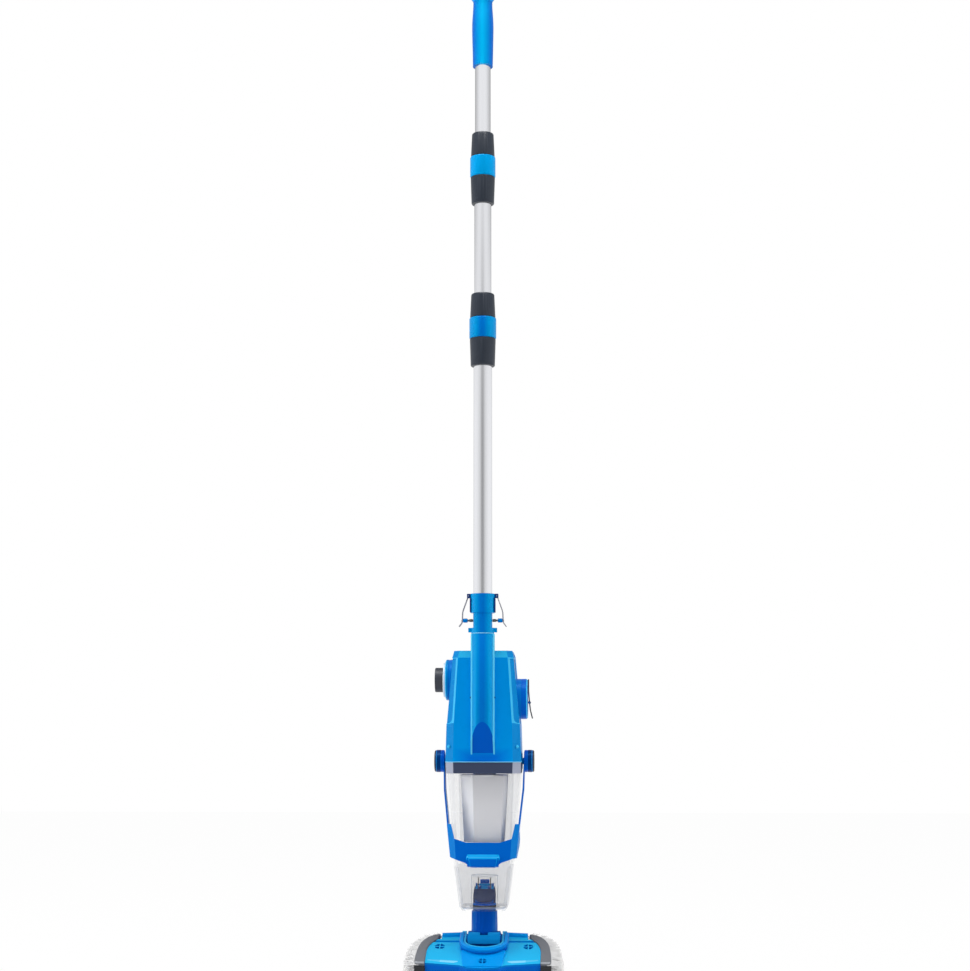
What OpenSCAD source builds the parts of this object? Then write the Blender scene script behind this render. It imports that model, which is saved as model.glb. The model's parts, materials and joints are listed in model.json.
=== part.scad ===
// Hand-held pool vacuum: telescopic pole, pump housing, debris canister, neck and tilting brush head.
// Millimetres. Z = 0 is the top rim of the pole adapter, +Z runs up the pole, and -Y is the front.

/* [Pole] */
// Outside diameter of the lower tube
lower_tube_d = 28; // [26:0.5:30]
// Wall of all three tubes
tube_wall = 0.8; // [0.6:0.1:1]
// Radial gap between one tube and the next
slide_gap = 0.2; // [0.1:0.05:0.3]
// Bare length of the lower tube between adapter and lower clamp
lower_bare = 344.6; // [200:0.1:450]
// Bare length of the middle tube between the clamps
middle_bare = 136.6; // [60:0.1:200]
// Bare length of the upper tube between upper clamp and grip
upper_bare = 103.6; // [60:0.1:160]
// Length of the middle tube
middle_tube_len = 630; // [560:1:640]
// Length of the upper tube
upper_tube_len = 765; // [700:1:770]
// Depth of the lower tube in its socket, below the adapter's rim
tube_seat_depth = 150; // [110:1:152]

/* [Clamps] */
// Height of a clamp sleeve
sleeve_h = 44.6; // [30:0.1:50]
// Height of a clamp ring
ring_h = 34.2; // [20:0.1:40]
// Height of a clamp nut
nut_h = 37.4; // [32:0.1:44]
// Radial wall of a clamp ring, outside its tube
ring_wall = 6.4; // [5.5:0.1:8]
// Height of a collet's grip above the threaded spigot
collet_rise = 8; // [5:0.5:12]

/* [Grip] */
// Length of the soft grip
grip_len = 104; // [80:1:140]
// Largest radius of the grip
grip_r = 16.6; // [15.5:0.1:19]
// Radius of the grip at its lower rim
grip_rim_r = 15.4; // [14.5:0.1:16]
// Length of the end cap
cap_len = 30; // [24:1:40]
// Largest radius of the end cap
cap_r = 18.5; // [17:0.1:21]
// Radius of the hanging hole
hang_hole_r = 5; // [3:0.1:6]

/* [Adapter] */
// Height of the pole adapter
adapter_h = 57.9; // [56:0.1:64]
// Radius of the adapter's top
adapter_r = 18.2; // [17.5:0.1:20]
// Radius of the ridge that carries the tube down the housing
ridge_r = 17; // [16.5:0.1:18]
// Depth of the side windows' upper edge
window_top = 28.2; // [26:0.1:30]
// Depth of the side windows' lower edge
window_bottom = 50.5; // [48:0.1:52]
// Depth of the locking pins
lock_depth = 39.4; // [37:0.1:42]
// Radius of a locking pin's tip
lock_pin_r = 2; // [1.5:0.1:2.5]
// Thickness of a clip spring
clip_t = 1.3; // [0.8:0.1:1.6]
// Width of a clip spring
clip_w = 6; // [5:0.1:8]

/* [Housing] */
// Distance of the body's centre line behind the pole's
body_y = 52; // [50:0.1:54]
// Front face of the housing, behind the pole's centre line
front_y = 2; // [1:0.1:4]
// Wall of the housing
housing_wall = 2.6; // [2:0.1:3]
// Depth of the housing's top below the adapter's rim
housing_top = 83.6; // [80:0.1:86]
// Height of the housing
housing_h = 163.3; // [160:0.1:166]
// Half width of the housing at its top
housing_top_w = 45.8; // [44:0.1:47]
// Half width of the housing at its base
housing_base_w = 56; // [55.6:0.1:56.4]
// Half width of the front flat at the housing's top
flat_top = 37; // [34:0.1:38]
// Half width of the front flat at the housing's base
flat_base = 44; // [43:0.1:45]
// Back face of the housing at its top
back_top = 94; // [92:0.1:96]
// Back face of the housing at its base
back_base = 104; // [103:0.1:106]
// Depth of the switch's axis below the housing's top
knob_drop = 41.8; // [38:0.1:46]
// Depth of the charging port's axis below the housing's top
port_drop = 70.3; // [66:0.1:74]
// Radius of the switch boss
switch_boss_r = 30.5; // [28:0.1:31]
// Radius of the switch knob
knob_r = 18.3; // [15:0.1:21]
// Thickness of the switch knob
knob_t = 11.7; // [9:0.1:14]
// Radius of the charging port's cap
port_cap_r = 30; // [26:0.1:30.5]

/* [Pump] */
// Radius of the motor
motor_r = 14; // [12:0.1:16]
// Length of the motor
motor_h = 38; // [30:0.1:42]
// Radius of the motor's shaft
shaft_r = 1.5; // [1:0.1:2]
// Radius of the impeller
impeller_r = 22; // [18:0.1:24]
// Radius of a battery cell
cell_r = 9.2; // [8:0.1:9.4]
// Gap between the battery and the housing's roof
battery_gap = 9.8; // [4:0.1:20]

/* [Canister] */
// Height of the grey seal band
seal_h = 16.7; // [14:0.1:20]
// Wall of the canister
canister_wall = 2.2; // [1.6:0.1:2.6]
// Height of the canister's bowl
bowl_h = 133.4; // [130:0.1:136]
// Height of the canister's lower chamber
chamber_h = 61; // [58:0.1:63]
// Outside radius of the inlet duct
duct_r = 19.5; // [19.2:0.1:20.5]
// Bore radius of the inlet duct
duct_bore_r = 17.6; // [17.5:0.1:18]
// Height of the filter cartridge
filter_h = 98; // [80:0.1:110]
// Half width of the filter's top
filter_w = 35; // [30:0.1:37]

/* [Bail] */
// Radius of a bail hub
hub_r = 16.2; // [14:0.1:17]
// Radius of a bail stud
stud_r = 5; // [4:0.1:6]
// Thickness of the bail
bail_t = 2.3; // [2:0.1:2.8]

/* [Head] */
// Tilt of the head at rest, front edge down
head_tilt = 22; // [0:1:30]
// Length of the neck, from the canister's foot to the head's pivot
neck_len = 44.9; // [42:0.1:48]
// Radius of the neck's pivot barrel
barrel_r = 15.5; // [14:0.1:16]
// Half width of the pivot barrel
barrel_w = 26.2; // [24:0.1:27]
// Half width of the head's plate
plate_w = 83.5; // [80:0.1:88]
// Distance from pivot to the plate's front corners
plate_front = 64; // [60:0.1:68]
// Thickness of the plate
plate_t = 3; // [2.7:0.1:4]
// Depth of the base under the plate
base_h = 13; // [12:0.1:16]
// Width of a side bumper
bumper_w = 19; // [14:0.1:22]
// Height of a side bumper
bumper_h = 13; // [10:0.1:14]
// Reach of the side bristles past the bumpers
bristle_reach = 15; // [8:0.1:18]
// Radius of a rear roller
roller_r = 6; // [5:0.1:6.3]
// Radius of a bleed hole
bleed_r = 7.4; // [5:0.1:9]

/* [Hidden] */
$fn = 64;

pool_blue = "#0a84e2";
deep_blue = "#0552c0";
slate = "#3f434d";
silver = "#c9ccd1";
bumper_grey = "#75787f";
clear_grey = "#dfe1e8";

// Clearances: parts that are pressed or seated, that turn, and that move past each other.
seat_gap = 0.05;
turn_gap = 0.05;
free_gap = 0.3;
far = 400;

// Pole radii and heights
lower_r = lower_tube_d / 2;
middle_r = lower_r - tube_wall - slide_gap;
upper_r = middle_r - tube_wall - slide_gap;
clamp_h = sleeve_h + ring_h + nut_h;
lower_clamp_z = lower_bare;
upper_clamp_z = lower_clamp_z + clamp_h + middle_bare;
grip_z = upper_clamp_z + clamp_h + upper_bare;
cap_z = grip_z + grip_len;
tube_end_in_clamp = sleeve_h + 5;
spigot_h = 20;
nut_lip = 4;
tube_end_in_grip = grip_len - 8;
guide_h = 6;
guide_spigot = 12;

// ---------- shared shapes ----------

function unit(v) = v / norm(v);
function side(a, b) = let (d = unit(b - a)) [-d[1], d[0]];
function corner(p, i) =
    i == 0 ? side(p[0], p[1]) :
    i == len(p) - 1 ? side(p[i - 1], p[i]) :
    let (n = unit(side(p[i - 1], p[i]) + side(p[i], p[i + 1]))) n / (n * side(p[i - 1], p[i]));
// Outline of a strip of thickness t along the points p
function ribbon(p, t) = concat(
    [for (i = [0 : len(p) - 1]) p[i] + corner(p, i) * t / 2],
    [for (i = [len(p) - 1 : -1 : 0]) p[i] - corner(p, i) * t / 2]);
function bend(a, b, c, t) = a * (1 - t) * (1 - t) + b * 2 * t * (1 - t) + c * t * t;
function curve(a, b, c, steps) = [for (i = [0 : steps]) bend(a, b, c, i / steps)];
function flip(p) = [for (i = [len(p) - 1 : -1 : 0]) [-p[i][0], p[i][1]]];

module tube(r, wall, z0, z1) {
    translate([0, 0, z0])
        difference() {
            cylinder(r = r, h = z1 - z0);
            translate([0, 0, -1])
                cylinder(r = r - wall, h = z1 - z0 + 2);
        }
}

// A shape drawn in the XZ plane, w wide along Y about the centre y
module across(w, y = 0) {
    translate([0, y + w / 2, 0])
        rotate([90, 0, 0])
            linear_extrude(w)
                children();
}

// A shape drawn in the YZ plane, w wide along X about the centre x
module along_x(w, x = 0) {
    translate([x - w / 2, 0, 0])
        rotate([90, 0, 90])
            linear_extrude(w)
                children();
}

// A round bar along X from x0 to x1
module bar_x(r, x0, x1, y, z) {
    translate([x0, y, z])
        rotate([0, 90, 0])
            cylinder(r = r, h = x1 - x0);
}

// A round bar along Y from y0 to y1
module bar_y(r, y0, y1, x, z) {
    translate([x, y1, z])
        rotate([90, 0, 0])
            cylinder(r = r, h = y1 - y0);
}

// Eight-sided plan: half width w, half width of the front flat f, front face y0, back face y1
module plan(w, f, y0, y1) {
    c = w - f;
    polygon([[-f, y0], [f, y0], [w, y0 + c], [w, y1 - c], [f, y1], [-f, y1], [-w, y1 - c], [-w, y0 + c]]);
}

module level(z, w, f, y0, y1) {
    translate([0, 0, z])
        linear_extrude(0.01)
            plan(w, f, y0, y1);
}

module both_sides() {
    children();
    mirror([1, 0, 0]) children();
}

// ---------- pole ----------

// Sleeve fixed on the end of a tube, with the thread's spigot on top
module clamp_sleeve(z, r) {
    core_r = r + 2.5;
    top = sleeve_h + ring_h + spigot_h;
    translate([0, 0, z])
        rotate_extrude()
            polygon([
                [r + seat_gap, 0], [r + 3.6, 0], [r + 4.3, 1.5], [r + 5.6, sleeve_h - 1.5],
                [r + 5, sleeve_h], [core_r, sleeve_h], [core_r, top], [r + seat_gap, top]]);
}

module clamp_ring(z, r) {
    core_r = r + 2.5 + seat_gap;
    translate([0, 0, z + sleeve_h])
        rotate_extrude()
            polygon([
                [core_r, 0], [r + 5.4, 0], [r + ring_wall, 1.2], [r + ring_wall, ring_h - 1.2],
                [r + 5.4, ring_h], [core_r, ring_h]]);
}

// Nut turned by hand, whose lip closes on the collet. r is the outer tube's radius, inner the sliding tube's
module clamp_nut(z, r, inner) {
    core_r = r + 2.5 + free_gap;
    translate([0, 0, z + sleeve_h + ring_h])
        rotate_extrude()
            polygon([
                [core_r, free_gap], [r + 4.6, free_gap], [r + 5.2, 1.2], [r + 3.6, nut_h - 1.5],
                [r + 2.6, nut_h], [inner + 0.6, nut_h], [inner + 0.6, nut_h - nut_lip], [core_r, nut_h - nut_lip]]);
}

module collet(z, r, inner) {
    z0 = z + tube_end_in_clamp;
    h = ring_h + spigot_h + collet_rise - (tube_end_in_clamp - sleeve_h);
    slots = 3;
    difference() {
        tube(r, r - inner - turn_gap, z0, z0 + h);
        for (a = [0 : slots - 1])
            rotate(a * 180 / slots)
                translate([-r - 1, -0.8, z0 + h - 24])
                    cube([2 * r + 2, 1.6, 25]);
    }
}

// Bush on the foot of a sliding tube, running in the tube outside it
module guide(z, r, outer_bore) {
    translate([0, 0, z])
        difference() {
            union() {
                translate([0, 0, -guide_h])
                    cylinder(r = outer_bore - turn_gap, h = guide_h);
                cylinder(r = r - tube_wall - seat_gap, h = guide_spigot);
            }
            translate([0, 0, -guide_h - 1])
                cylinder(r = r - tube_wall - 3, h = guide_h + guide_spigot + 2);
        }
}

middle_top = upper_clamp_z + tube_end_in_clamp;
middle_foot = middle_top - middle_tube_len;
upper_top = grip_z + tube_end_in_grip;
upper_foot = upper_top - upper_tube_len;

module lower_tube() {
    color(silver)
        difference() {
            tube(lower_r, tube_wall, -tube_seat_depth, lower_clamp_z + tube_end_in_clamp);
            bar_x(lock_pin_r + 0.6, -far, far, 0, -lock_depth);
        }
}
module middle_tube() { color(silver) tube(middle_r, tube_wall, middle_foot, middle_top); }
module upper_tube() { color(silver) tube(upper_r, tube_wall, upper_foot, upper_top); }
module middle_guide() { color(slate) guide(middle_foot, middle_r, lower_r - tube_wall); }
module upper_guide() { color(slate) guide(upper_foot, upper_r, middle_r - tube_wall); }
module lower_clamp_sleeve() { color(slate) clamp_sleeve(lower_clamp_z, lower_r); }
module lower_clamp_ring() { color(pool_blue) clamp_ring(lower_clamp_z, lower_r); }
module lower_clamp_nut() { color(slate) clamp_nut(lower_clamp_z, lower_r, middle_r); }
module lower_collet() { color("white") collet(lower_clamp_z, lower_r, middle_r); }
module upper_clamp_sleeve() { color(slate) clamp_sleeve(upper_clamp_z, middle_r); }
module upper_clamp_ring() { color(pool_blue) clamp_ring(upper_clamp_z, middle_r); }
module upper_clamp_nut() { color(slate) clamp_nut(upper_clamp_z, middle_r, upper_r); }
module upper_collet() { color("white") collet(upper_clamp_z, middle_r, upper_r); }

// Soft barrel-shaped grip with an arched lower rim front and back
module grip() {
    steps = 12;
    outer = [for (i = [0 : steps])
        let (s = i / steps)
        [s < 0.62 ? grip_rim_r + (grip_r - grip_rim_r) * pow(sin(90 * s / 0.62), 2)
                  : grip_r - 1.9 * pow(sin(90 * (s - 0.62) / 0.38), 2), s * grip_len]];
    color(pool_blue)
        translate([0, 0, grip_z])
            difference() {
                rotate_extrude()
                    polygon(concat([[upper_r + seat_gap, 0]], outer, [[upper_r + seat_gap, grip_len]]));
                bar_y(38, -far, far, 0, -36);
            }
}

module end_cap() {
    neck_r = grip_r - 1.9;
    dome = [for (i = [0 : 8]) [cap_r - 5 + 5 * cos(i * 90 / 8), cap_len - 5 + 5 * sin(i * 90 / 8)]];
    color(pool_blue)
        translate([0, 0, cap_z])
            difference() {
                union() {
                    rotate_extrude()
                        polygon(concat([[0, 0], [neck_r, 0], [neck_r + 0.6, 2], [cap_r, 7]], dome, [[0, cap_len]]));
                    translate([0, 0, -grip_len + tube_end_in_grip - 14])
                        cylinder(r = upper_r - tube_wall - seat_gap, h = grip_len - tube_end_in_grip + 15);
                }
                bar_y(hang_hole_r, -far, far, 0, cap_len - 13);
            }
}

// ---------- adapter and its clips ----------

clip_x = 21;
clip_z = -3;
clip_eye_r = 2.2;
clip_hinge_r = 1;
pin_x = 30.4;
// Route of a clip spring, from its hinge down to the finger tab
clip_route = [[clip_x + 1.2, clip_z - 1], [29, -25], [pin_x, -lock_depth + 3], [pin_x, -lock_depth - 3], [35, -48.5]];

module pole_adapter() {
    color(pool_blue)
        difference() {
            union() {
                translate([0, 0, -window_top])
                    cylinder(r = adapter_r, h = window_top);
                translate([0, 0, -adapter_h])
                    cylinder(r = ridge_r, h = adapter_h - 1);
                both_sides() {
                    for (s = [-1, 1])
                        translate([ridge_r - 2, s * (clip_w / 2 + 1.2) - 0.9, -6])
                            cube([clip_x + 2.2 - ridge_r + 2, 1.8, 6]);
                    translate([ridge_r - 2, -3.5, -adapter_h + 1])
                        cube([6.3, 7, adapter_h - window_bottom - 1]);
                }
            }
            translate([0, 0, -adapter_h - 1])
                cylinder(r = lower_r + seat_gap, h = adapter_h + 2);
            both_sides()
                translate([12.4, -far / 2, -window_bottom])
                    cube([far, far, window_bottom - window_top]);
            for (s = [-1, 1])
                bar_y(clip_hinge_r, -far, far, s * clip_x, clip_z);
        }
}

module clip_hinge_pins() {
    color(silver)
        both_sides()
            bar_y(clip_hinge_r, -clip_w / 2 - 2, clip_w / 2 + 2, clip_x, clip_z);
}

module clip_spring() {
    difference() {
        union() {
            across(clip_w) polygon(ribbon(clip_route, clip_t));
            bar_y(clip_eye_r, -clip_w / 2, clip_w / 2, clip_x, clip_z);
        }
        bar_y(clip_hinge_r + turn_gap, -far, far, clip_x, clip_z);
        bar_x(1.5, 0, far, 0, -lock_depth);
    }
}

// Locking pin: a steel tip that drops into the tube's hole, a thin shank and a blue head on the spring
module clip_pin() {
    bar_x(lock_pin_r, lower_r - tube_wall + 0.15, 19.8, 0, -lock_depth);
    bar_x(1.4, 19.8, pin_x + 1.2, 0, -lock_depth);
    bar_x(3, 22.5, pin_x - clip_t / 2, 0, -lock_depth);
}
module left_clip_spring() { color("#85888e") mirror([1, 0, 0]) clip_spring(); }
module right_clip_spring() { color("#85888e") clip_spring(); }
module left_clip_pin() { color(deep_blue) mirror([1, 0, 0]) clip_pin(); }
module right_clip_pin() { color(deep_blue) clip_pin(); }

// ---------- housing ----------

top_z = -housing_top;
base_z = top_z - housing_h;
bevel = 6.7;
bevel_in = 5;
waist_z = base_z + 55.6;
waist_w = housing_base_w - 1.5;
waist_flat = flat_base - 1;
waist_back = back_base - 2;
split_y = body_y;

// Outer form of the housing, shrunk by g all round except at its open base
module housing_form(g, z_low) {
    hull() {
        level(top_z - g, housing_top_w - bevel_in / 2 - g, flat_top - 2 - g, front_y + bevel_in + g,
              back_top - bevel_in - g);
        level(top_z - bevel, housing_top_w - g, flat_top - g * 0.4, front_y + g, back_top - g);
        level(waist_z, waist_w - g, waist_flat - g * 0.4, front_y + g, waist_back - g);
        level(z_low, housing_base_w - g, flat_base - g * 0.4, front_y + g, back_base - g);
    }
}

module housing_shell() {
    difference() {
        housing_form(0, base_z);
        housing_form(housing_wall, base_z - 1);
    }
}

knob_z = top_z - knob_drop;
port_z = top_z - port_drop;
boss_x = housing_base_w + 2;
port_x = boss_x + 7;
outlet_z = base_z + 22.9;
outlet_h = 20;
outlet_w = 28;
socket_floor = 3;
cut_top = base_z + 58.1;
cut_base = base_z + 13.1;

// Holes through both housing halves for the knob's shaft and the charging socket
module side_holes() {
    bar_x(5, -far, 0, body_y, knob_z);
    bar_x(6 + seat_gap, 0, far, body_y, port_z);
}

// Ridge down the front that holds the tube, ending in a slanted cut
module ridge() {
    difference() {
        union() {
            translate([0, 0, -tube_seat_depth - socket_floor])
                cylinder(r = ridge_r, h = tube_seat_depth + socket_floor - adapter_h);
            intersection() {
                translate([0, 0, cut_base])
                    cylinder(r = ridge_r, h = -cut_base - adapter_h);
                translate([-far / 2, -far, cut_base])
                    cube([far, far + front_y + housing_wall / 2, -cut_base]);
            }
        }
        along_x(far)
            polygon([[-ridge_r, cut_top], [front_y, cut_base], [front_y, cut_base - 9], [-ridge_r - 9, cut_base - 9],
                     [-ridge_r - 9, cut_top]]);
    }
}

screw_places = [[34, top_z - 15.4], [41, base_z + 46.9]];
screw_r = 1.5;
screw_head_r = 2.8;
screw_sink = 5;
// Back face of the housing at height z
function back_at(z) = z > waist_z
    ? back_top + (waist_back - back_top) * (top_z - bevel - z) / (top_z - bevel - waist_z)
    : waist_back + (back_base - waist_back) * (waist_z - z) / (waist_z - base_z);
// Plan of the space inside the housing below its waist, at height z, shrunk by g
module inside_plan(z, g) {
    t = (waist_z - z) / (waist_z - base_z);
    in = housing_wall + g;
    plan(waist_w + (housing_base_w - waist_w) * t - in, waist_flat + (flat_base - waist_flat) * t - in,
         front_y + in, back_at(z) - in);
}

module screw_posts(y0, y1) {
    for (p = screw_places)
        both_sides()
            bar_y(4, y0, y1, p[0], p[1]);
}

module front_housing() {
    color(pool_blue)
        difference() {
            union() {
                intersection() {
                    housing_shell();
                    translate([-far / 2, -far, -far])
                        cube([far, far + split_y - 0.4, far]);
                }
                ridge();
                intersection() {
                    housing_form(0, base_z);
                    screw_posts(0, split_y - 0.4);
                }
            }
            translate([0, 0, -tube_seat_depth])
                cylinder(r = lower_r + seat_gap, h = tube_seat_depth + 1);
            for (p = screw_places)
                both_sides()
                    bar_y(screw_r, split_y - 16, split_y + 1, p[0], p[1]);
            side_holes();
        }
}

module rear_housing() {
    color(pool_blue)
        difference() {
            union() {
                intersection() {
                    housing_shell();
                    translate([-far / 2, split_y + 0.4, -far])
                        cube([far, far, far]);
                }
                intersection() {
                    housing_form(0, base_z);
                    screw_posts(split_y + 0.4, far / 2);
                }
            }
            for (p = screw_places)
                both_sides() {
                    bar_y(screw_r + 0.2, 0, far, p[0], p[1]);
                    bar_y(screw_head_r + 0.4, back_at(p[1]) - screw_sink, far, p[0], p[1]);
                }
            side_holes();
            translate([-outlet_w / 2, split_y + 28, outlet_z - outlet_h / 2])
                cube([outlet_w, far, outlet_h]);
        }
}

module housing_gasket() {
    color("#202227")
        difference() {
            intersection() {
                difference() {
                    housing_form(0.6, base_z);
                    housing_form(housing_wall, base_z - 1);
                }
                translate([-far / 2, split_y - 0.4, -far])
                    cube([far, 0.8, far]);
            }
            side_holes();
        }
}

module housing_screws() {
    color(silver)
        for (p = screw_places)
            both_sides() {
                bar_y(screw_r - 0.02, split_y - 15, back_at(p[1]) - screw_sink, p[0], p[1]);
                difference() {
                    bar_y(screw_head_r, back_at(p[1]) - screw_sink, back_at(p[1]) - screw_sink + 2.2, p[0], p[1]);
                    for (a = [0, 90])
                        translate([p[0], back_at(p[1]) - screw_sink + 2.2, p[1]])
                            rotate([0, a, 0])
                                cube([3.6, 2, 0.8], center = true);
                }
            }
}

// ---------- switch on the left, charging port on the right ----------

knob_in = boss_x + 4.3;
module switch_boss() {
    color(pool_blue)
        difference() {
            bar_x(switch_boss_r, -boss_x, -boss_x + 18, body_y, knob_z);
            housing_form(0, base_z);
            bar_x(4 + turn_gap, -far, 0, body_y, knob_z);
        }
}

collar_r = switch_boss_r - 4.5;
module knob_collar() {
    color(clear_grey)
        difference() {
            bar_x(collar_r, -boss_x - 4, -boss_x, body_y, knob_z);
            bar_x(5, -far, 0, body_y, knob_z);
        }
}

module switch_knob() {
    bar_w = 8;
    outer = knob_in + knob_t;
    color("#2e3036")
        difference() {
            union() {
                bar_x(knob_r, -outer, -knob_in, body_y, knob_z);
                bar_x(4, -knob_in - 1, -37, body_y, knob_z);
            }
            difference() {
                bar_x(knob_r - 2, -far, -outer + 7, body_y, knob_z);
                translate([-far, body_y - bar_w / 2, knob_z - far / 2])
                    cube([far, bar_w, far]);
            }
        }
}

module rotary_switch() {
    color("#4a4d55")
        difference() {
            translate([-45, body_y - 11, knob_z - 11])
                cube([14, 22, 22]);
            bar_x(4 + turn_gap, -far, -36, body_y, knob_z);
        }
}

module port_cap() {
    color(pool_blue)
        difference() {
            union() {
                bar_x(port_cap_r, boss_x - 18, port_x, body_y, port_z);
                for (s = [-1, 1])
                    translate([port_x - 1, body_y + s * 6.6 - 1.2, lever_z - 3])
                        cube([5.6, 2.4, 6]);
            }
            housing_form(0, base_z);
            bar_x(7, 0, port_x - 3, body_y, port_z);
            bar_y(1.2, 0, far, lever_x, lever_z);
        }
}

lever_x = port_x + 2.6;
lever_z = port_z - 5.3;
lever_w = 10;
lever_t = 1.7;
lever_top = port_cap_r - 0.6;
lever_foot = port_cap_r - 0.9;
lever_route = [[port_x + 1.2, port_z + lever_top], [port_x + 1.3, lever_z + 17.2], [lever_x, lever_z],
               [lever_x + 1.4, lever_z - 11.8], [lever_x + 4.4, port_z - lever_foot]];
module port_lever() {
    color("#33363c")
        difference() {
            union() {
                across(lever_w, body_y) polygon(ribbon(lever_route, lever_t));
                bar_y(2.1, body_y - lever_w / 2, body_y + lever_w / 2, lever_x, lever_z);
            }
            bar_y(1.2 + turn_gap, 0, far, lever_x, lever_z);
        }
}

module port_lever_pin() {
    color(deep_blue)
        bar_y(1.2, body_y - 7.8, body_y + 7.8, lever_x, lever_z);
}

module charge_socket() {
    color("#2e3036")
        difference() {
            bar_x(6, 40, 59, body_y, port_z);
            bar_x(3, 50, far, body_y, port_z);
        }
}

// ---------- battery and pump ----------

bulkhead_z = base_z + 38.9;
cell_z = bulkhead_z + motor_h + 7;
cell_top = top_z - housing_wall - battery_gap - 2;
cell_h = cell_top - cell_z;
module battery_cells() {
    color("#3c7a55")
        both_sides()
            translate([cell_r + 0.9, body_y, cell_z])
                cylinder(r = cell_r, h = cell_h);
}

// Two end plates and a middle web that hold the cells, standing on the motor
module battery_holder() {
    w = 2 * cell_r + 1.6;
    color("#2e3036")
        difference() {
            union() {
                translate([-w, body_y - cell_r - 1, cell_z - 5])
                    cube([2 * w, 2 * cell_r + 2, 7]);
                translate([-w, body_y - cell_r - 1, cell_z + cell_h - 4])
                    cube([2 * w, 2 * cell_r + 2, 6]);
                translate([-0.7, body_y - cell_r - 1, cell_z])
                    cube([1.4, 2 * cell_r + 2, cell_h]);
            }
            both_sides()
                translate([cell_r + 0.9, body_y, cell_z])
                    cylinder(r = cell_r + seat_gap, h = cell_h);
        }
}

module control_board() {
    board_y = body_y + cell_r + 1;
    color("#2f6b45")
        translate([-24, board_y, cell_z - 3])
            cube([48, 1.6, cell_h]);
    color("#202227")
        for (p = [[-16, 8, 9], [2, 12, 12], [10, 34, 8], [-14, 40, 10]])
            translate([p[0], board_y + 1.6, cell_z + p[1]])
                cube([p[2], 4, p[2]]);
}

module motor() {
    color("#9ea2a8")
        difference() {
            union() {
                translate([0, body_y, bulkhead_z])
                    cylinder(r = motor_r, h = motor_h);
                translate([0, body_y, bulkhead_z + motor_h - 1])
                    cylinder(r = 5, h = 3);
            }
            translate([0, body_y, bulkhead_z - 1])
                cylinder(r = shaft_r + turn_gap, h = 16);
        }
}

module bulkhead() {
    color("#1b64b0")
        difference() {
            union() {
                translate([0, 0, bulkhead_z - 3])
                    linear_extrude(3)
                        inside_plan(bulkhead_z, free_gap);
                translate([0, body_y, bulkhead_z - 6])
                    cylinder(r = 9, h = 4);
            }
            translate([0, body_y, bulkhead_z - 7])
                cylinder(r = 6, h = 8);
        }
}

module shaft_seal() {
    color("#202227")
        translate([0, body_y, bulkhead_z - 6])
            difference() {
                cylinder(r = 6, h = 6);
                translate([0, 0, -1])
                    cylinder(r = shaft_r + turn_gap, h = 8);
            }
}

impeller_z = bulkhead_z - 22;
module impeller() {
    vanes = 6;
    color("#e8eaee")
        translate([0, body_y, 0]) {
            translate([0, 0, impeller_z])
                cylinder(r = shaft_r, h = bulkhead_z + 13 - impeller_z);
            difference() {
                translate([0, 0, impeller_z])
                    cylinder(r = 5, h = 12);
                translate([0, 0, impeller_z - 1])
                    cylinder(r = shaft_r, h = 14);
            }
            difference() {
                translate([0, 0, impeller_z + 9])
                    cylinder(r = impeller_r, h = 1.6);
                translate([0, 0, impeller_z])
                    cylinder(r = 4.9, h = 14);
            }
            for (a = [0 : vanes - 1])
                rotate(a * 360 / vanes)
                    translate([4.6, -3, impeller_z])
                        cube([impeller_r - 5.5, 1.4, 9.5]);
        }
}

volute_r = impeller_r + 6;
cover_z = base_z + 7.9;
// Ring chamber round the impeller with a duct to the back, on a floor plate with the eye
module pump_casing() {
    z0 = cover_z + 3;
    h = bulkhead_z - 3 - z0;
    color("#1b64b0")
        difference() {
            union() {
                translate([0, 0, cover_z])
                    linear_extrude(3)
                        inside_plan(cover_z + 3, free_gap);
                translate([0, body_y, z0])
                    cylinder(r = volute_r + 2, h = h);
                translate([-outlet_w / 2, body_y, z0])
                    cube([outlet_w, back_at(outlet_z) - housing_wall - 2 - body_y, h]);
            }
            translate([0, body_y, z0])
                cylinder(r = volute_r, h = h + 2);
            translate([0, body_y, cover_z - 1])
                cylinder(r = 12, h = 5);
            translate([-outlet_w / 2 + 2, body_y, outlet_z - outlet_h / 2 + 2])
                cube([outlet_w - 4, far, outlet_h - 4]);
        }
}

module outlet_grille() {
    slots = 5;
    t = 2;
    y = back_at(outlet_z) - housing_wall;
    color("#2e3036")
        difference() {
            translate([-outlet_w / 2 + 0.2, y - 1, outlet_z - outlet_h / 2 + 0.2])
                cube([outlet_w - 0.4, t + 0.6, outlet_h - 0.4]);
            for (i = [0 : slots - 1])
                translate([-outlet_w / 2 + 3, 0, outlet_z - outlet_h / 2 + 2.2 + i * 3.4])
                    cube([outlet_w - 6, far, 1.8]);
        }
}

// ---------- canister, filter and bail ----------

seal_z = base_z - seal_h;
can_z = seal_z - 0.2;
waist_drop = 93.2;
bowl_waist = can_z - waist_drop;
shoulder_z = can_z - bowl_h;
foot_z = shoulder_z - chamber_h;
duct_top = foot_z + 45;
duct_foot = foot_z - 6.2;

// A plan in one list: half width, half width of the front flat, front face, back face
base_plan = [housing_base_w, flat_base, front_y, back_base];
rim_plan = base_plan + [-1, -1.4, 1, -2];
waist_plan = rim_plan + [-8, -3.1, 6, -7];
shoulder_plan = rim_plan + [-11.7, -6.1, 10, -11];
chamber_plan = rim_plan + [-19.4, -13, 17, -18];
foot_plan = rim_plan + [-23.5, -16.6, 21, -22];
module plan_at(z, p, g = 0) {
    level(z, p[0] - g, p[1] - g * 0.4, p[2] + g, p[3] - g);
}
// Plan of the bowl at height z, between its rim and its waist
function bowl_at(z) = rim_plan + (waist_plan - rim_plan) * (can_z - z) / (can_z - bowl_waist);

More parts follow.
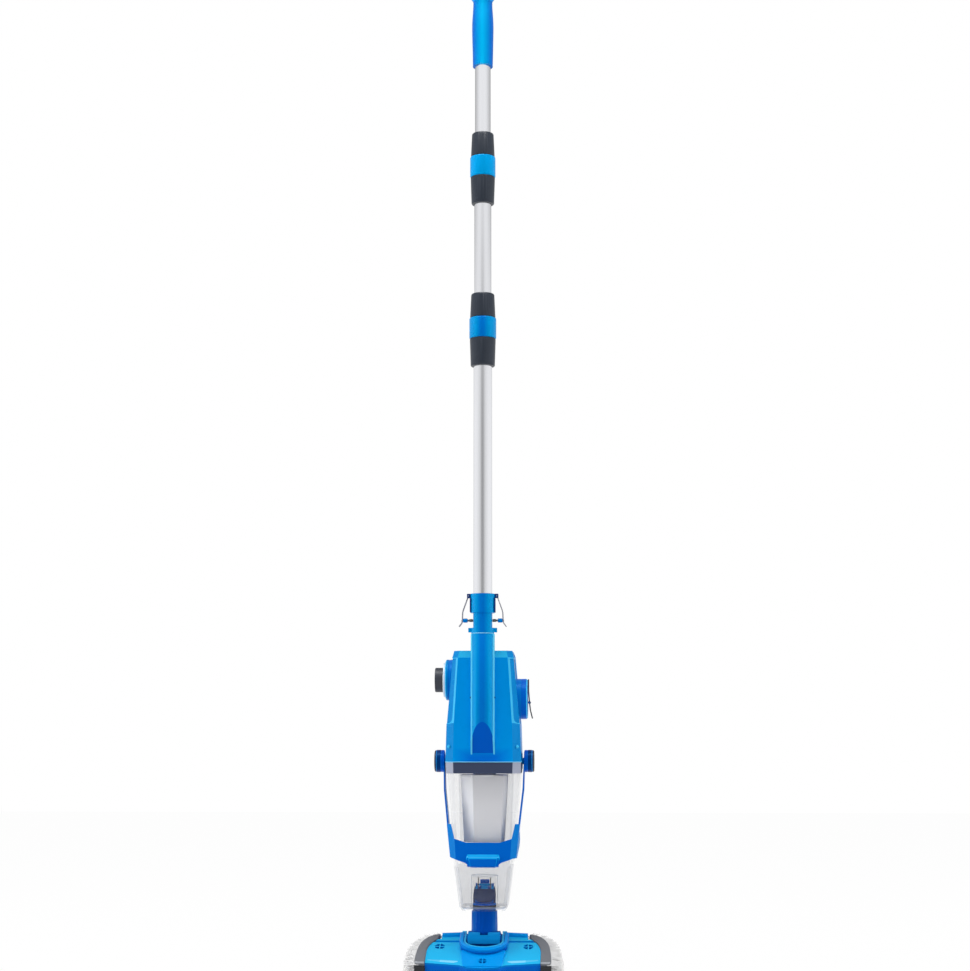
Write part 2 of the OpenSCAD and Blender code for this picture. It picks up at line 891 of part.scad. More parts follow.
module seal_band() {
    seal_w = 4.2;
    color("#575b70")
        difference() {
            hull() {
                plan_at(seal_z, base_plan + [-0.8, -0.6, 1, -1.4]);
                plan_at(base_z - 0.01, base_plan + [-0.2, -0.1, 0.6, -0.6]);
            }
            translate([0, 0, seal_z - 1])
                linear_extrude(seal_h + 2)
                    plan(housing_base_w - 0.8 - seal_w, flat_base - 3, front_y + 0.8 + seal_w,
                         back_base - 1.2 - seal_w);
        }
}

// Outer form of the canister, shrunk by g all round
module bowl_form(g) {
    lap = g > 0 ? 1 : 0;
    hull() {
        plan_at(can_z - 0.01 + lap, rim_plan, g);
        plan_at(bowl_waist, waist_plan, g);
    }
    hull() {
        plan_at(bowl_waist, waist_plan, g);
        plan_at(shoulder_z - lap, shoulder_plan, g);
    }
    hull() {
        plan_at(shoulder_z, shoulder_plan, g);
        plan_at(foot_z + 6, chamber_plan, g);
        plan_at(foot_z + g, foot_plan, g);
    }
}

module canister() {
    color(clear_grey, 0.4)
        difference() {
            union() {
                difference() {
                    bowl_form(0);
                    bowl_form(canister_wall);
                }
                translate([0, body_y, duct_foot])
                    cylinder(r = duct_r, h = duct_top - duct_foot);
            }
            translate([0, body_y, duct_foot - 1])
                cylinder(r = duct_bore_r, h = duct_top - duct_foot + 2);
        }
}

filter_z = seal_z - 2.4;
filter_foot_w = filter_w - 5;
module filter_frame() {
    y0 = body_y - filter_w;
    y1 = body_y + filter_w;
    color("#e6e6ea")
        difference() {
            union() {
                translate([0, body_y, filter_z])
                    cylinder(r = 17, h = cover_z - filter_z);
                translate([0, 0, filter_z - 3])
                    linear_extrude(3)
                        plan(filter_w, 15, y0, y1);
                translate([0, 0, filter_z - filter_h])
                    linear_extrude(3)
                        plan(filter_foot_w, 13, y0 + 5, y1 - 5);
                for (a = [45 : 90 : 315])
                    translate([0, body_y, 0])
                        rotate(a)
                            translate([25, -1.5, filter_z - filter_h + 1])
                                cube([3, 3, filter_h - 3]);
            }
            translate([0, body_y, filter_z - 4])
                cylinder(r = 14, h = far);
        }
}

module filter_mesh() {
    color("#d8d9de")
        difference() {
            hull() {
                level(filter_z - 3.01, filter_w - 0.3, 15, body_y - filter_w + 0.3, body_y + filter_w - 0.3);
                level(filter_z - filter_h + 3, filter_foot_w, 13, body_y - filter_foot_w, body_y + filter_foot_w);
            }
            hull() {
                level(filter_z - 2, filter_w - 1.7, 14.2, body_y - filter_w + 1.7, body_y + filter_w - 1.7);
                level(filter_z - filter_h + 2, filter_foot_w - 1.3, 12.4, body_y - filter_foot_w + 1.3,
                      body_y + filter_foot_w - 1.3);
            }
        }
}

bail_z = base_z + 0.9;
hub_in = housing_base_w + 4;
hub_out = hub_in + 12;
module bail_studs() {
    flange_x = housing_base_w + 0.2;
    color(pool_blue)
        difference() {
            both_sides() {
                bar_x(12, flange_x - 6, flange_x + 0.8, body_y, bail_z);
                bar_x(stud_r, flange_x - 6, hub_out - 2, body_y, bail_z);
            }
            housing_form(0, base_z);
            translate([-flange_x, 0, -far])
                cube([2 * flange_x, far, far]);
        }
}

module strip_block(x0, x1, y0, y1, z0, z1) {
    translate([x0, y0, z0]) cube([x1 - x0, y1 - y0, z1 - z0]);
}

band_top = bowl_waist + 20;
band_low = shoulder_z - 1.8;
band_back = body_y - 6;
band_top_plan = bowl_at(band_top) + [5.1, 2.8, -3.1, far];
band_low_plan = shoulder_plan + [4.1, 2.5, -6, far];
// Eight-sided form of the bail's band, shrunk by g, leaning in with the bowl
module band_form(g) {
    hull() {
        plan_at(band_top, band_top_plan, g);
        plan_at(band_low, band_low_plan, g);
    }
}

module bail_arm() {
    bend_z = can_z - 24.2;
    bend_x = housing_base_w + 1.2;
    band_x = band_top_plan[0] - bail_t;
    difference() {
        union() {
            hull() {
                bar_x(hub_r - 2, hub_in - 0.6, hub_in + 0.4, body_y, bail_z);
                strip_block(bend_x, bend_x + bail_t, body_y - 19, body_y + 5, bend_z, bend_z + 1);
            }
            hull() {
                strip_block(bend_x, bend_x + bail_t, body_y - 19, body_y + 5, bend_z, bend_z + 1);
                strip_block(band_x, band_x + bail_t, band_back - 26, band_back, band_top - 0.5, band_top + 1);
            }
        }
        bar_x(stud_r + turn_gap, 0, far, body_y, bail_z);
    }
}

thumb_w = 23;
band_y = band_low_plan[2];
// Right-hand half of the band's outline, from the top of its window down and round to the foot
band_edge = [[25, bowl_waist - 6.5], [42, bowl_waist - 1], [47, band_top], [60, band_top], [60, band_low + 19],
             [46, band_low + 13], [27, band_low + 6.5], [18, band_low + 0.2]];
module bail() {
    color(deep_blue) {
        both_sides() {
            difference() {
                bar_x(hub_r, hub_in, hub_out, body_y, bail_z);
                bar_x(stud_r + turn_gap, 0, far, body_y, bail_z);
            }
            bail_arm();
        }
        // band with its stepped lower edge, rising towards the sides
        intersection() {
            difference() {
                band_form(0);
                band_form(bail_t);
            }
            across(band_back + 20, band_back / 2 - 10)
                polygon(concat(band_edge, flip(band_edge)));
        }
        // thumb tab
        along_x(2 * thumb_w)
            polygon([[band_y, band_low + 17.5], [band_y - 4.5, band_low + 14], [band_y - 3.6, band_low + 2],
                     [band_y + 1, band_low + 0.2]]);
    }
}

module bail_caps() {
    color("#2e3036")
        both_sides()
            difference() {
                bar_x(hub_r, hub_out + seat_gap, hub_out + 2.4, body_y, bail_z);
                bar_x(hub_r - 3, hub_out + 1.6, far, body_y, bail_z);
            }
}

// ---------- neck and flap ----------

neck_flange_z = duct_foot - 0.3;
head_z = neck_flange_z - neck_len;
neck_r = duct_r + 0.2;
neck_foot_r = neck_r + 2;
spigot_r = duct_bore_r - free_gap;
neck_bore_r = 12.5;
seat_low = neck_flange_z + 11.3;
seat_top = seat_low + 23.2;
seat_front = body_y - 5;
seat_back = body_y + 7.5;
flap_slope = atan2(seat_top - seat_low, seat_back - seat_front);
flap_hinge_z = seat_top + 2.5;
oring_z = neck_flange_z + 6.8;
oring_t = 1.5;
oring_r = duct_bore_r - oring_t - 0.1;
groove_r = oring_r - oring_t - seat_gap;

module neck() {
    foot = 15.6;
    color(deep_blue)
        difference() {
            union() {
                translate([0, body_y, 0])
                    rotate_extrude()
                        polygon([
                            [0, head_z], [neck_foot_r - 4.7, head_z + foot - 4.8], [neck_foot_r, head_z + foot],
                            [neck_r, neck_flange_z], [spigot_r, neck_flange_z], [spigot_r, oring_z - 1.7],
                            [groove_r, oring_z - 1.7], [groove_r, oring_z + 1.7], [spigot_r, oring_z + 1.7],
                            [spigot_r, seat_low], [0, seat_low]]);
                bar_x(barrel_r, -barrel_w, barrel_w, body_y, head_z);
                along_x(27)
                    polygon([[seat_front, seat_low - 1], [seat_front, seat_low], [seat_back, seat_top],
                             [seat_back + 1.5, seat_top], [seat_back + 1.5, seat_low - 1]]);
                both_sides()
                    strip_block(11, 13.5, seat_back - 2.2, seat_back + 2, seat_top - 1, seat_top + 4.6);
                strip_block(-6.8, 6.8, seat_back + 2.2, seat_back + 3.6, seat_low - 1, seat_top + 10);
            }
            translate([0, body_y, head_z - far / 2])
                cylinder(r = neck_bore_r, h = far / 2 + seat_low - 3 - head_z);
            strip_block(-9, 9, seat_front + 3, seat_back - 2.5, seat_low - 4, far);
            bar_x(1, -far, far, seat_back, flap_hinge_z);
            both_sides()
                bar_x(2.5 + turn_gap, 14, far, body_y, head_z);
        }
}

module inlet_oring() {
    color("#17181b")
        translate([0, body_y, oring_z])
            rotate_extrude()
                translate([oring_r, 0])
                    circle(r = oring_t, $fn = 32);
}

// Check flap that lies on the sloping seat and lifts when water is drawn in
module inlet_flap() {
    flap_w = 13;
    flap_len = 26;
    color("#3d4a66")
        translate([0, seat_back, flap_hinge_z])
            rotate([flap_slope - 90, 0, 0])
                difference() {
                    union() {
                        translate([-flap_w, -0.7, -flap_len + flap_w])
                            cube([2 * flap_w, 1.5, flap_len - flap_w - 6]);
                        translate([-10.6, -0.7, -7])
                            cube([21.2, 1.5, 7]);
                        translate([0, 0.8, -flap_len + flap_w])
                            rotate([90, 0, 0])
                                cylinder(r = flap_w, h = 1.5);
                        bar_x(1.7, -10.6, 10.6, 0, 0);
                    }
                    bar_x(1 + turn_gap, -far, far, 0, 0);
                }
}

module flap_pin() {
    color(silver)
        bar_x(1, -13.4, 13.4, seat_back, flap_hinge_z);
}

// ---------- head ----------

// The head's own frame: pivot axis at the origin, -Y to the front, plate's top face at Z = 0
module in_head() {
    translate([0, body_y, head_z])
        rotate([head_tilt, 0, 0])
            children();
}

well_w = barrel_w + free_gap;
ring_w = 33;
ring_front = 38;
ring_h2 = 9.8;
rear_v = -24;
sole = -plate_t - base_h;
// Right-hand edge of the plate, from the back to the front: [across, forward]
rear_w = plate_w - 19.5;
edge_inner = concat([[plate_w - 14.5, -7]],
                    curve([plate_w - 9.5, 0], [plate_w - 0.9, 12], [plate_w, plate_front / 2], 6),
                    [[plate_w, plate_front]]);
plate_tip = plate_front + 14.5;
plate_right = concat([[0, rear_v], [28, rear_v], [rear_w, rear_v + 4], [rear_w, rear_v + 16]], edge_inner,
                     [[34, plate_tip - 8.5], [22, plate_tip - 2.5], [0, plate_tip]]);
bumper_right = concat(
    curve([plate_w - 10.5, rear_v + 3.5], [plate_w + 14.5, rear_v + 18],
          [plate_w + bumper_w, plate_front - 28], 8),
    [[plate_w + bumper_w, 58], [plate_w + bumper_w - 5, plate_front]],
    [for (i = [len(edge_inner) - 1 : -1 : 0]) edge_inner[i] + [0.2, 0]]);

// Points given as [across, forward] become [x, -y]
function forward(p) = [for (q = p) [q[0], -q[1]]];

module plate_outline() {
    polygon(forward(concat(plate_right, flip(plate_right))));
}

module ring_outline(w, front) {
    straight = 17;
    polygon(concat([[w, 14]],
                   [for (i = [0 : 20]) [w * cos(i * 9), -straight - (front - straight) * sin(i * 9)]],
                   [[-w, 14]]));
}

bleed_places = [[plate_w - 18.5, 15], [18.5 - plate_w, 15], [0, plate_tip - 17.5]];
module head_top() {
    color(pool_blue)
        in_head()
            difference() {
                union() {
                    translate([0, 0, -plate_t])
                        linear_extrude(plate_t)
                            plate_outline();
                    translate([0, 0, -plate_t])
                        linear_extrude(plate_t + ring_h2)
                            ring_outline(ring_w, ring_front);
                    // hump from the ring down to the front edge
                    hull() {
                        strip_block(-ring_w + 1, ring_w - 1, 1 - ring_front, 4 - ring_front, -1, 4.5);
                        strip_block(-ring_w + 5, ring_w - 5, 4.5 - plate_tip, 6.5 - plate_tip, -1, 0.6);
                    }
                    both_sides()
                        translate([28, 20.5, -0.6])
                            rotate([0, 90, -5])
                                cylinder(r = 4.6, h = 35.5);
                }
                translate([0, 0, -far / 2])
                    linear_extrude(far)
                        ring_outline(well_w, ring_front - 5.6);
                strip_block(-well_w, well_w, 10, 40, -far, far);
                strip_block(-plate_w, plate_w, 10, 40, -far, -plate_t);
                for (p = bleed_places)
                    translate([p[0], -p[1], -far / 2])
                        difference() {
                            cylinder(r = p[0] == 0 ? bleed_r - 1.4 : bleed_r, h = far);
                            for (a = [0, 90])
                                rotate(a)
                                    strip_block(-0.9, 0.9, -20, 20, -1, far);
                        }
                bar_x(2.5, -far, far, 0, 0);
            }
}

mouth_w = 62;
mouth_front = 50;
throat_w = 21;
roller_v = -16.5;
roller_drop = sole + 3;
roller_in = 31;
roller_out = 61;
axle_r = 1.5;
axle_in = roller_in - 3;
axle_out = roller_out + 1.6;
module head_base() {
    color(deep_blue)
        in_head()
            difference() {
                translate([0, 0, sole])
                    linear_extrude(base_h)
                        plate_outline();
                bar_x(barrel_r + 0.4, -well_w, well_w, 0, 0);
                // suction mouth with its two side channels, and the throat up to the neck
                strip_block(-mouth_w, mouth_w, -mouth_front, 5, sole - 1, sole + 7);
                strip_block(-throat_w, throat_w, -neck_bore_r, neck_bore_r, sole - 1, 0);
                for (p = bleed_places)
                    translate([p[0], -p[1], sole - 1])
                        cylinder(r = bleed_r - 1.6, h = far);
                both_sides() {
                    strip_block(roller_in - 0.4, roller_out + 0.4, -roller_v - roller_r - 0.6,
                                -roller_v + roller_r + 0.6, sole - 1, roller_drop + roller_r + 0.6);
                    bar_x(axle_r, axle_in - 0.5, axle_out + 0.4, -roller_v, roller_drop);
                }
            }
}

module head_pivot_pins() {
    color(silver)
        in_head()
            both_sides()
                bar_x(2.5, 15, ring_w, 0, 0);
}

// Roller under the back edge, turning in the base on its own stub axles
module roller() {
    in_head() {
        bar_x(roller_r, roller_in, roller_out, -roller_v, roller_drop);
        bar_x(axle_r - turn_gap, axle_in, axle_out, -roller_v, roller_drop);
    }
}
module left_roller() { color("#2e3036") mirror([1, 0, 0]) roller(); }
module right_roller() { color("#2e3036") roller(); }

module side_bumpers() {
    color(bumper_grey)
        in_head()
            both_sides()
                translate([0, 0, -bumper_h + 1])
                    linear_extrude(bumper_h)
                        polygon(forward(bumper_right));
}

// Bristles that fan out and down from under each bumper, at stations along it: across, forward, turn
bristle_stations = [[plate_w - 6.5, -14, 55], [plate_w + 7.5, 4, 28], [plate_w + 11.5, 30, 3],
                    [plate_w + 11.5, plate_front - 4, 0]];
module bristle_edge(p) {
    translate([p[0], -p[1], 0])
        rotate(p[2]) {
            strip_block(-7, 4, -0.5, 0.5, -bumper_h, -bumper_h + 1);
            strip_block(0, bristle_reach + 7, -0.5, 0.5, roller_drop - roller_r, roller_drop - roller_r + 1);
        }
}

module side_bristles() {
    color("white")
        in_head()
            both_sides()
                for (i = [0 : len(bristle_stations) - 2])
                    hull() {
                        bristle_edge(bristle_stations[i]);
                        bristle_edge(bristle_stations[i + 1]);
                    }
}

end_cap();
grip();
upper_tube();
upper_guide();
upper_clamp_nut();
upper_clamp_ring();
upper_clamp_sleeve();
upper_collet();
middle_tube();
middle_guide();
lower_clamp_nut();
lower_clamp_ring();
lower_clamp_sleeve();
lower_collet();
lower_tube();
pole_adapter();
clip_hinge_pins();
left_clip_spring();
right_clip_spring();
left_clip_pin();
right_clip_pin();
front_housing();
rear_housing();
housing_gasket();
housing_screws();
switch_boss();
knob_collar();
switch_knob();
rotary_switch();
port_cap();
port_lever();
port_lever_pin();
charge_socket();
battery_cells();
battery_holder();
control_board();
motor();
bulkhead();
shaft_seal();
impeller();
pump_casing();
outlet_grille();
seal_band();
bail_studs();
bail();
bail_caps();
canister();
filter_frame();
filter_mesh();
neck();
inlet_oring();
inlet_flap();
flap_pin();
head_top();
head_base();
head_pivot_pins();
left_roller();
right_roller();
side_bumpers();
side_bristles();
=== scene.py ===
"""Hand-held pool vacuum: telescopic pole, pump housing, clear canister, neck and tilting brush head."""
import json
import math
import random
import bmesh
import bpy
from mathutils import Matrix, Vector

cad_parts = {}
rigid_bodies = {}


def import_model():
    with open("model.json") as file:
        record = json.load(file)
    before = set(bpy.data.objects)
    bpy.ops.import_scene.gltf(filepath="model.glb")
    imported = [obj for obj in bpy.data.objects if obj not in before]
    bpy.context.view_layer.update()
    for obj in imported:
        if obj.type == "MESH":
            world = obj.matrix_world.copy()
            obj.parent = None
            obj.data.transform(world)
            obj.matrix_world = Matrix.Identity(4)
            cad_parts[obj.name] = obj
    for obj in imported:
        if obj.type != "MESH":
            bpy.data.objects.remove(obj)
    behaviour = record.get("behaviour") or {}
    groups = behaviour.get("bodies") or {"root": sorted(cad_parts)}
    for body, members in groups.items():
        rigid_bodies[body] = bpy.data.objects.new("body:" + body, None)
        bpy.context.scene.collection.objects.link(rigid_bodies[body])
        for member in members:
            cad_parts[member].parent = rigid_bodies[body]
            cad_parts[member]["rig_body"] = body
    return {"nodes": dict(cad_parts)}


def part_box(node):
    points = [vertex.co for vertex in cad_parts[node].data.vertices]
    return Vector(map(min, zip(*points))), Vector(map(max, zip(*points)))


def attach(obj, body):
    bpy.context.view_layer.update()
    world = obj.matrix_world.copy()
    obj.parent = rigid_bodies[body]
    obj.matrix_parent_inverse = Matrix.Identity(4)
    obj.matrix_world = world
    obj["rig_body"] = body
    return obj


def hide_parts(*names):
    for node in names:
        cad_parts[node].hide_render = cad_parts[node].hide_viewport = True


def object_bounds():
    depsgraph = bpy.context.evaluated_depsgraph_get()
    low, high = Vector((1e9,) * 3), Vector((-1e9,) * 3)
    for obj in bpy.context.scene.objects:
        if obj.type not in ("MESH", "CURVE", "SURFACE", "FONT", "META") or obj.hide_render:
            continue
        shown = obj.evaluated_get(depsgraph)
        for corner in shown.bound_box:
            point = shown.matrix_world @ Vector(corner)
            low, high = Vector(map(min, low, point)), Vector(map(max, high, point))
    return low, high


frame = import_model()
cad_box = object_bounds()
nodes = frame["nodes"]
MM = 0.001


# ---------- measures, in millimetres ----------

BODY_Y = 52.0
HOUSING_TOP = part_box("rear_housing")[1].z / MM
HOUSING_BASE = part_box("rear_housing")[0].z / MM
BEVEL_Z = HOUSING_TOP - 6.7
WAIST_Z = HOUSING_BASE + 55.6
HALF_SPLIT = 0.4


# ---------- camera, light and floor ----------

CAMERA_DISTANCE = 2.7
CAMERA_HEIGHT = -0.2142
CAMERA_AZIMUTH = 3.0
CAMERA_TURN = 2.929
CAMERA_PITCH = 7.95
CAMERA_LENS = 67.44
SENSOR_WIDTH = 36.0


def make_camera():
    """A long lens in front of the object, a little below its middle."""
    data = bpy.data.cameras.new("camera")
    data.lens = CAMERA_LENS
    data.sensor_width = SENSOR_WIDTH
    data.clip_start, data.clip_end = 0.05, 50.0
    camera = bpy.data.objects.new("camera", data)
    azimuth = math.radians(CAMERA_AZIMUTH)
    camera.location = (CAMERA_DISTANCE * math.sin(azimuth), -CAMERA_DISTANCE * math.cos(azimuth), CAMERA_HEIGHT)
    camera.rotation_euler = (math.radians(90 + CAMERA_PITCH), 0.0, math.radians(CAMERA_TURN))
    bpy.context.scene.collection.objects.link(camera)
    bpy.context.scene.camera = camera


# name, place, aim, width, height, watts, and whether it shows in the object's gloss; in metres
LAMPS = (
    ("left_box", (-2.5, -0.35, 0.1), (0.0, 0.05, 0.0), 1.6, 2.8, 52.0, False),
    ("right_box", (2.5, -0.35, 0.1), (0.0, 0.05, 0.0), 1.6, 2.8, 34.0, False),
    ("top_box", (0.0, -0.6, 2.6), (0.0, 0.0, -0.2), 2.2, 1.4, 62.0, True),
)


def soft_box(name, place, aim, width, height, watts, in_gloss):
    """A soft lamp turned to what it aims at."""
    data = bpy.data.lights.new(name, "AREA")
    data.shape, data.size, data.size_y = "RECTANGLE", width, height
    data.energy = watts
    lamp = bpy.data.objects.new(name, data)
    lamp.location = place
    lamp.rotation_euler = (Vector(aim) - Vector(place)).to_track_quat("-Z", "Y").to_euler()
    lamp.visible_glossy = in_gloss
    bpy.context.scene.collection.objects.link(lamp)


def make_lights():
    """A lamp to each side and one above."""
    for lamp in LAMPS:
        soft_box(*lamp)


WHITE = (1.0, 1.0, 1.0, 1.0)


class Graph:
    """A material or world being wired up. One that isn't fresh keeps the nodes it has."""

    def __init__(self, tree, fresh=True):
        self.tree = tree
        if fresh:
            tree.nodes.clear()

    def node(self, kind, **values):
        made = self.tree.nodes.new(kind)
        for key, value in values.items():
            setattr(made, key, value)
        return made

    def found(self, kind):
        """The first node of a kind among those already there."""
        return [n for n in self.tree.nodes if n.type == kind][0]

    def link(self, source, target):
        self.tree.links.new(source, target)

    def maths(self, operation, first, second, clamp=False):
        made = self.node("ShaderNodeMath", operation=operation, use_clamp=clamp)
        for socket, value in zip(made.inputs, (first, second)):
            if isinstance(value, (int, float)):
                socket.default_value = value
            else:
                self.link(value, socket)
        return made.outputs[0]

    def ramp(self, source, low, high, to_low=0.0, to_high=1.0):
        made = self.node("ShaderNodeMapRange", clamp=True)
        self.link(source, made.inputs["Value"])
        for name, value in (("From Min", low), ("From Max", high), ("To Min", to_low), ("To Max", to_high)):
            made.inputs[name].default_value = value
        return made.outputs["Result"]

    def stops(self, source, values):
        """Greys at places from 0 to 1 along a ramp."""
        made = self.node("ShaderNodeValToRGB")
        ramp = made.color_ramp
        while len(ramp.elements) < len(values):
            ramp.elements.new(0.5)
        for element, (place, grey) in zip(ramp.elements, values):
            element.position = place
        for element, (place, grey) in zip(ramp.elements, values):
            element.color = (grey, grey, grey, 1.0)
        self.link(source, made.inputs[0])
        return made.outputs["Color"]

    def blend(self, factor, first, second):
        """The first colour where the factor is 0, the second where it is 1."""
        made = self.node("ShaderNodeMix", data_type="RGBA")
        self.link(factor, made.inputs["Factor"])
        for name, value in (("A", first), ("B", second)):
            socket = [s for s in made.inputs if s.name == name and s.type == "RGBA"][0]
            if isinstance(value, (tuple, list)):
                socket.default_value = value
            else:
                self.link(value, socket)
        return [s for s in made.outputs if s.type == "RGBA"][0]

    def mix(self, factor, first, second):
        """The first shader where the factor is 0, the second where it is 1."""
        made = self.node("ShaderNodeMixShader")
        for source, socket in zip((factor, first, second), made.inputs):
            self.link(source, socket)
        return made.outputs[0]

    def glow(self, kind, strength):
        """An even white light."""
        made = self.node(kind)
        made.inputs["Color"].default_value = WHITE
        made.inputs["Strength"].default_value = strength
        return made.outputs[0]

    def noise(self, place, scale, detail):
        made = self.node("ShaderNodeTexNoise")
        made.inputs["Scale"].default_value = scale
        made.inputs["Detail"].default_value = detail
        self.link(place, made.inputs["Vector"])
        return made.outputs["Fac"]

    def own_place(self):
        """The X, Y and Z of a place on the object, in metres."""
        split = self.node("ShaderNodeSeparateXYZ")
        self.link(self.found("TEX_COORD").outputs["Object"], split.inputs[0])
        return split.outputs

    def deepen(self, keep, colour):
        """Puts a colour in wherever keep falls short of 1."""
        base = self.found("BSDF_PRINCIPLED").inputs["Base Color"]
        self.link(self.blend(keep, linear(*colour), base.links[0].from_socket), base)


ROOM_LIGHT = 0.38
# what the gloss mirrors from front (0) to back (1), low down and high up, and the heights between which it changes
LOW_MIRROR = [(0.0, 0.34), (0.012, 0.4), (0.05, 0.68), (0.15, 0.82), (0.35, 0.95), (0.65, 0.98), (0.9, 0.9),
              (1.0, 0.6)]
HIGH_MIRROR = [(0.0, 0.97), (0.1, 0.95), (0.3, 0.84), (0.5, 0.68), (0.75, 0.58), (0.9, 0.45), (1.0, 0.3)]
MIRROR_CHANGE = (0.19, 0.31)


def make_world():
    """White to the camera, an even light on the object, and lighter and darker sides in its gloss."""
    world = bpy.data.worlds.new("studio")
    bpy.context.scene.world = world
    world.use_nodes = True
    g = Graph(world.node_tree)
    rays = g.node("ShaderNodeLightPath").outputs
    shown = g.maths("ADD", rays["Is Camera Ray"], rays["Is Transmission Ray"], clamp=True)
    split = g.node("ShaderNodeSeparateXYZ")
    g.link(g.node("ShaderNodeTexCoord").outputs["Generated"], split.inputs[0])
    up, back = split.outputs["Z"], split.outputs["Y"]
    level = g.maths("SQRT", g.maths("SUBTRACT", 1.0, g.maths("MULTIPLY", up, up)), 0.0)
    facing = g.ramp(g.maths("DIVIDE", back, level), -1.0, 1.0)
    mirror = g.blend(g.ramp(up, *MIRROR_CHANGE), g.stops(facing, LOW_MIRROR), g.stops(facing, HIGH_MIRROR))
    gloss = g.node("ShaderNodeBackground")
    g.link(mirror, gloss.inputs["Color"])
    lit = g.mix(rays["Is Glossy Ray"], g.glow("ShaderNodeBackground", ROOM_LIGHT), gloss.outputs[0])
    seen = g.mix(shown, lit, g.glow("ShaderNodeBackground", 1.0))
    g.link(seen, g.node("ShaderNodeOutputWorld").inputs["Surface"])


FLOOR_REACH, FLOOR_GAP = 6.0, 0.0005
FLOOR_GREY, FLOOR_SHOWN = 0.86, 0.975


def make_floor():
    """A pale floor under the head that shows white and keeps a faint shadow."""
    bm = bmesh.new()
    bmesh.ops.create_grid(bm, x_segments=1, y_segments=1, size=FLOOR_REACH)
    bmesh.ops.translate(bm, verts=bm.verts, vec=(0.0, 0.0, cad_box[0].z - FLOOR_GAP))
    mesh = bpy.data.meshes.new("floor")
    bm.to_mesh(mesh)
    bm.free()
    floor = bpy.data.objects.new("floor", mesh)
    bpy.context.scene.collection.objects.link(floor)
    material = bpy.data.materials.new("floor_white")
    material.use_nodes = True
    g = Graph(material.node_tree)
    rays = g.node("ShaderNodeLightPath").outputs
    shown = g.maths("ADD", rays["Is Camera Ray"], rays["Is Glossy Ray"], clamp=True)
    shown = g.maths("ADD", shown, rays["Is Transmission Ray"], clamp=True)
    matt = g.node("ShaderNodeBsdfDiffuse")
    matt.inputs["Color"].default_value = (FLOOR_GREY, FLOOR_GREY, FLOOR_GREY, 1.0)
    seen = g.mix(g.maths("MULTIPLY", shown, FLOOR_SHOWN), matt.outputs[0], g.glow("ShaderNodeEmission", 1.0))
    g.link(seen, g.node("ShaderNodeOutputMaterial").inputs["Surface"])
    mesh.materials.append(material)


# ---------- finishes ----------

def linear(r, g, b):
    """A display colour, 0 to 255, as the shader's linear one."""
    def one(c):
        c /= 255.0
        return c / 12.92 if c <= 0.04045 else ((c + 0.055) / 1.055) ** 2.4
    return (one(r), one(g), one(b), 1.0)


def shade(colour, factor):
    """A linear colour made lighter or darker."""
    return tuple(c * factor for c in colour[:3]) + (1.0,)


CLOUD_DETAIL, CLOUD_LOW, CLOUD_HIGH = 3.0, 0.3, 0.7
GRAIN_DETAIL, GRAIN_HEIGHT = 2.0, 0.0004


def finish(name, colour, rough, spread=0.04, tone=0.06, grain=1500.0, depth=0.02, patch=24.0,
           stretch=(1.0, 1.0, 1.0), **sockets):
    """A surface whose colour and roughness wander a little and whose grain is a fine bump."""
    material = bpy.data.materials.new(name)
    material.use_nodes = True
    g = Graph(material.node_tree)
    turn = g.node("ShaderNodeMapping")
    turn.inputs["Scale"].default_value = stretch
    g.link(g.node("ShaderNodeTexCoord").outputs["Object"], turn.inputs["Vector"])
    cloud = g.noise(turn.outputs[0], patch, CLOUD_DETAIL)
    shader = g.node("ShaderNodeBsdfPrincipled")
    g.link(g.blend(cloud, shade(colour, 1.0 - tone), shade(colour, 1.0 + tone)), shader.inputs["Base Color"])
    g.link(g.ramp(cloud, CLOUD_LOW, CLOUD_HIGH, rough - spread, rough + spread), shader.inputs["Roughness"])
    bump = g.node("ShaderNodeBump")
    bump.inputs["Strength"].default_value = depth
    bump.inputs["Distance"].default_value = GRAIN_HEIGHT
    g.link(g.noise(turn.outputs[0], grain, GRAIN_DETAIL), bump.inputs["Height"])
    g.link(bump.outputs[0], shader.inputs["Normal"])
    for socket, value in sockets.items():
        shader.inputs[socket.replace("_", " ")].default_value = value
    g.link(shader.outputs[0], g.node("ShaderNodeOutputMaterial").inputs["Surface"])
    return material


THREAD_PITCH, THREAD_WAVE, THREAD_DEPTH, THREAD_SHADE = 0.6, 0.314, 0.5, 0.86


def make_cloth(name, colour):
    """Filter cloth: two crossed sets of threads."""
    material = finish(name, colour, 0.85, patch=40.0)
    g = Graph(material.node_tree, fresh=False)
    threads = []
    for direction in ("X", "Z"):
        wave = g.node("ShaderNodeTexWave", bands_direction=direction)
        wave.inputs["Scale"].default_value = THREAD_WAVE / THREAD_PITCH
        g.link(g.found("TEX_COORD").outputs["Object"], wave.inputs["Vector"])
        threads.append(wave.outputs["Fac"])
    weave = g.maths("MAXIMUM", *threads)
    bump = g.found("BUMP")
    g.link(weave, bump.inputs["Height"])
    bump.inputs["Strength"].default_value = THREAD_DEPTH
    g.link(g.blend(weave, shade(colour, THREAD_SHADE), colour), g.found("BSDF_PRINCIPLED").inputs["Base Color"])
    return material


BLUE_TINT = (0.05, 0.5, 1.0, 1.0)


def blue_finish(name, colour, rough=0.3, **more):
    """A blue plastic, its gloss tinted so that it stays deep."""
    more.setdefault("tone", 0.025)
    return finish(name, linear(*colour), rough, Specular_IOR_Level=0.22, Specular_Tint=BLUE_TINT, **more)


def painted_middle_light(material, colour, inner, outer):
    """Paints a colour along a tube's middle, fading out to its sides: painted shade on the tubes and the neck, a
    painted highlight on the grip.
    """
    g = Graph(material.node_tree, fresh=False)
    off = g.maths("ABSOLUTE", g.own_place()["X"], 0.0)
    g.deepen(g.ramp(off, inner * MM, outer * MM), colour)
    return material


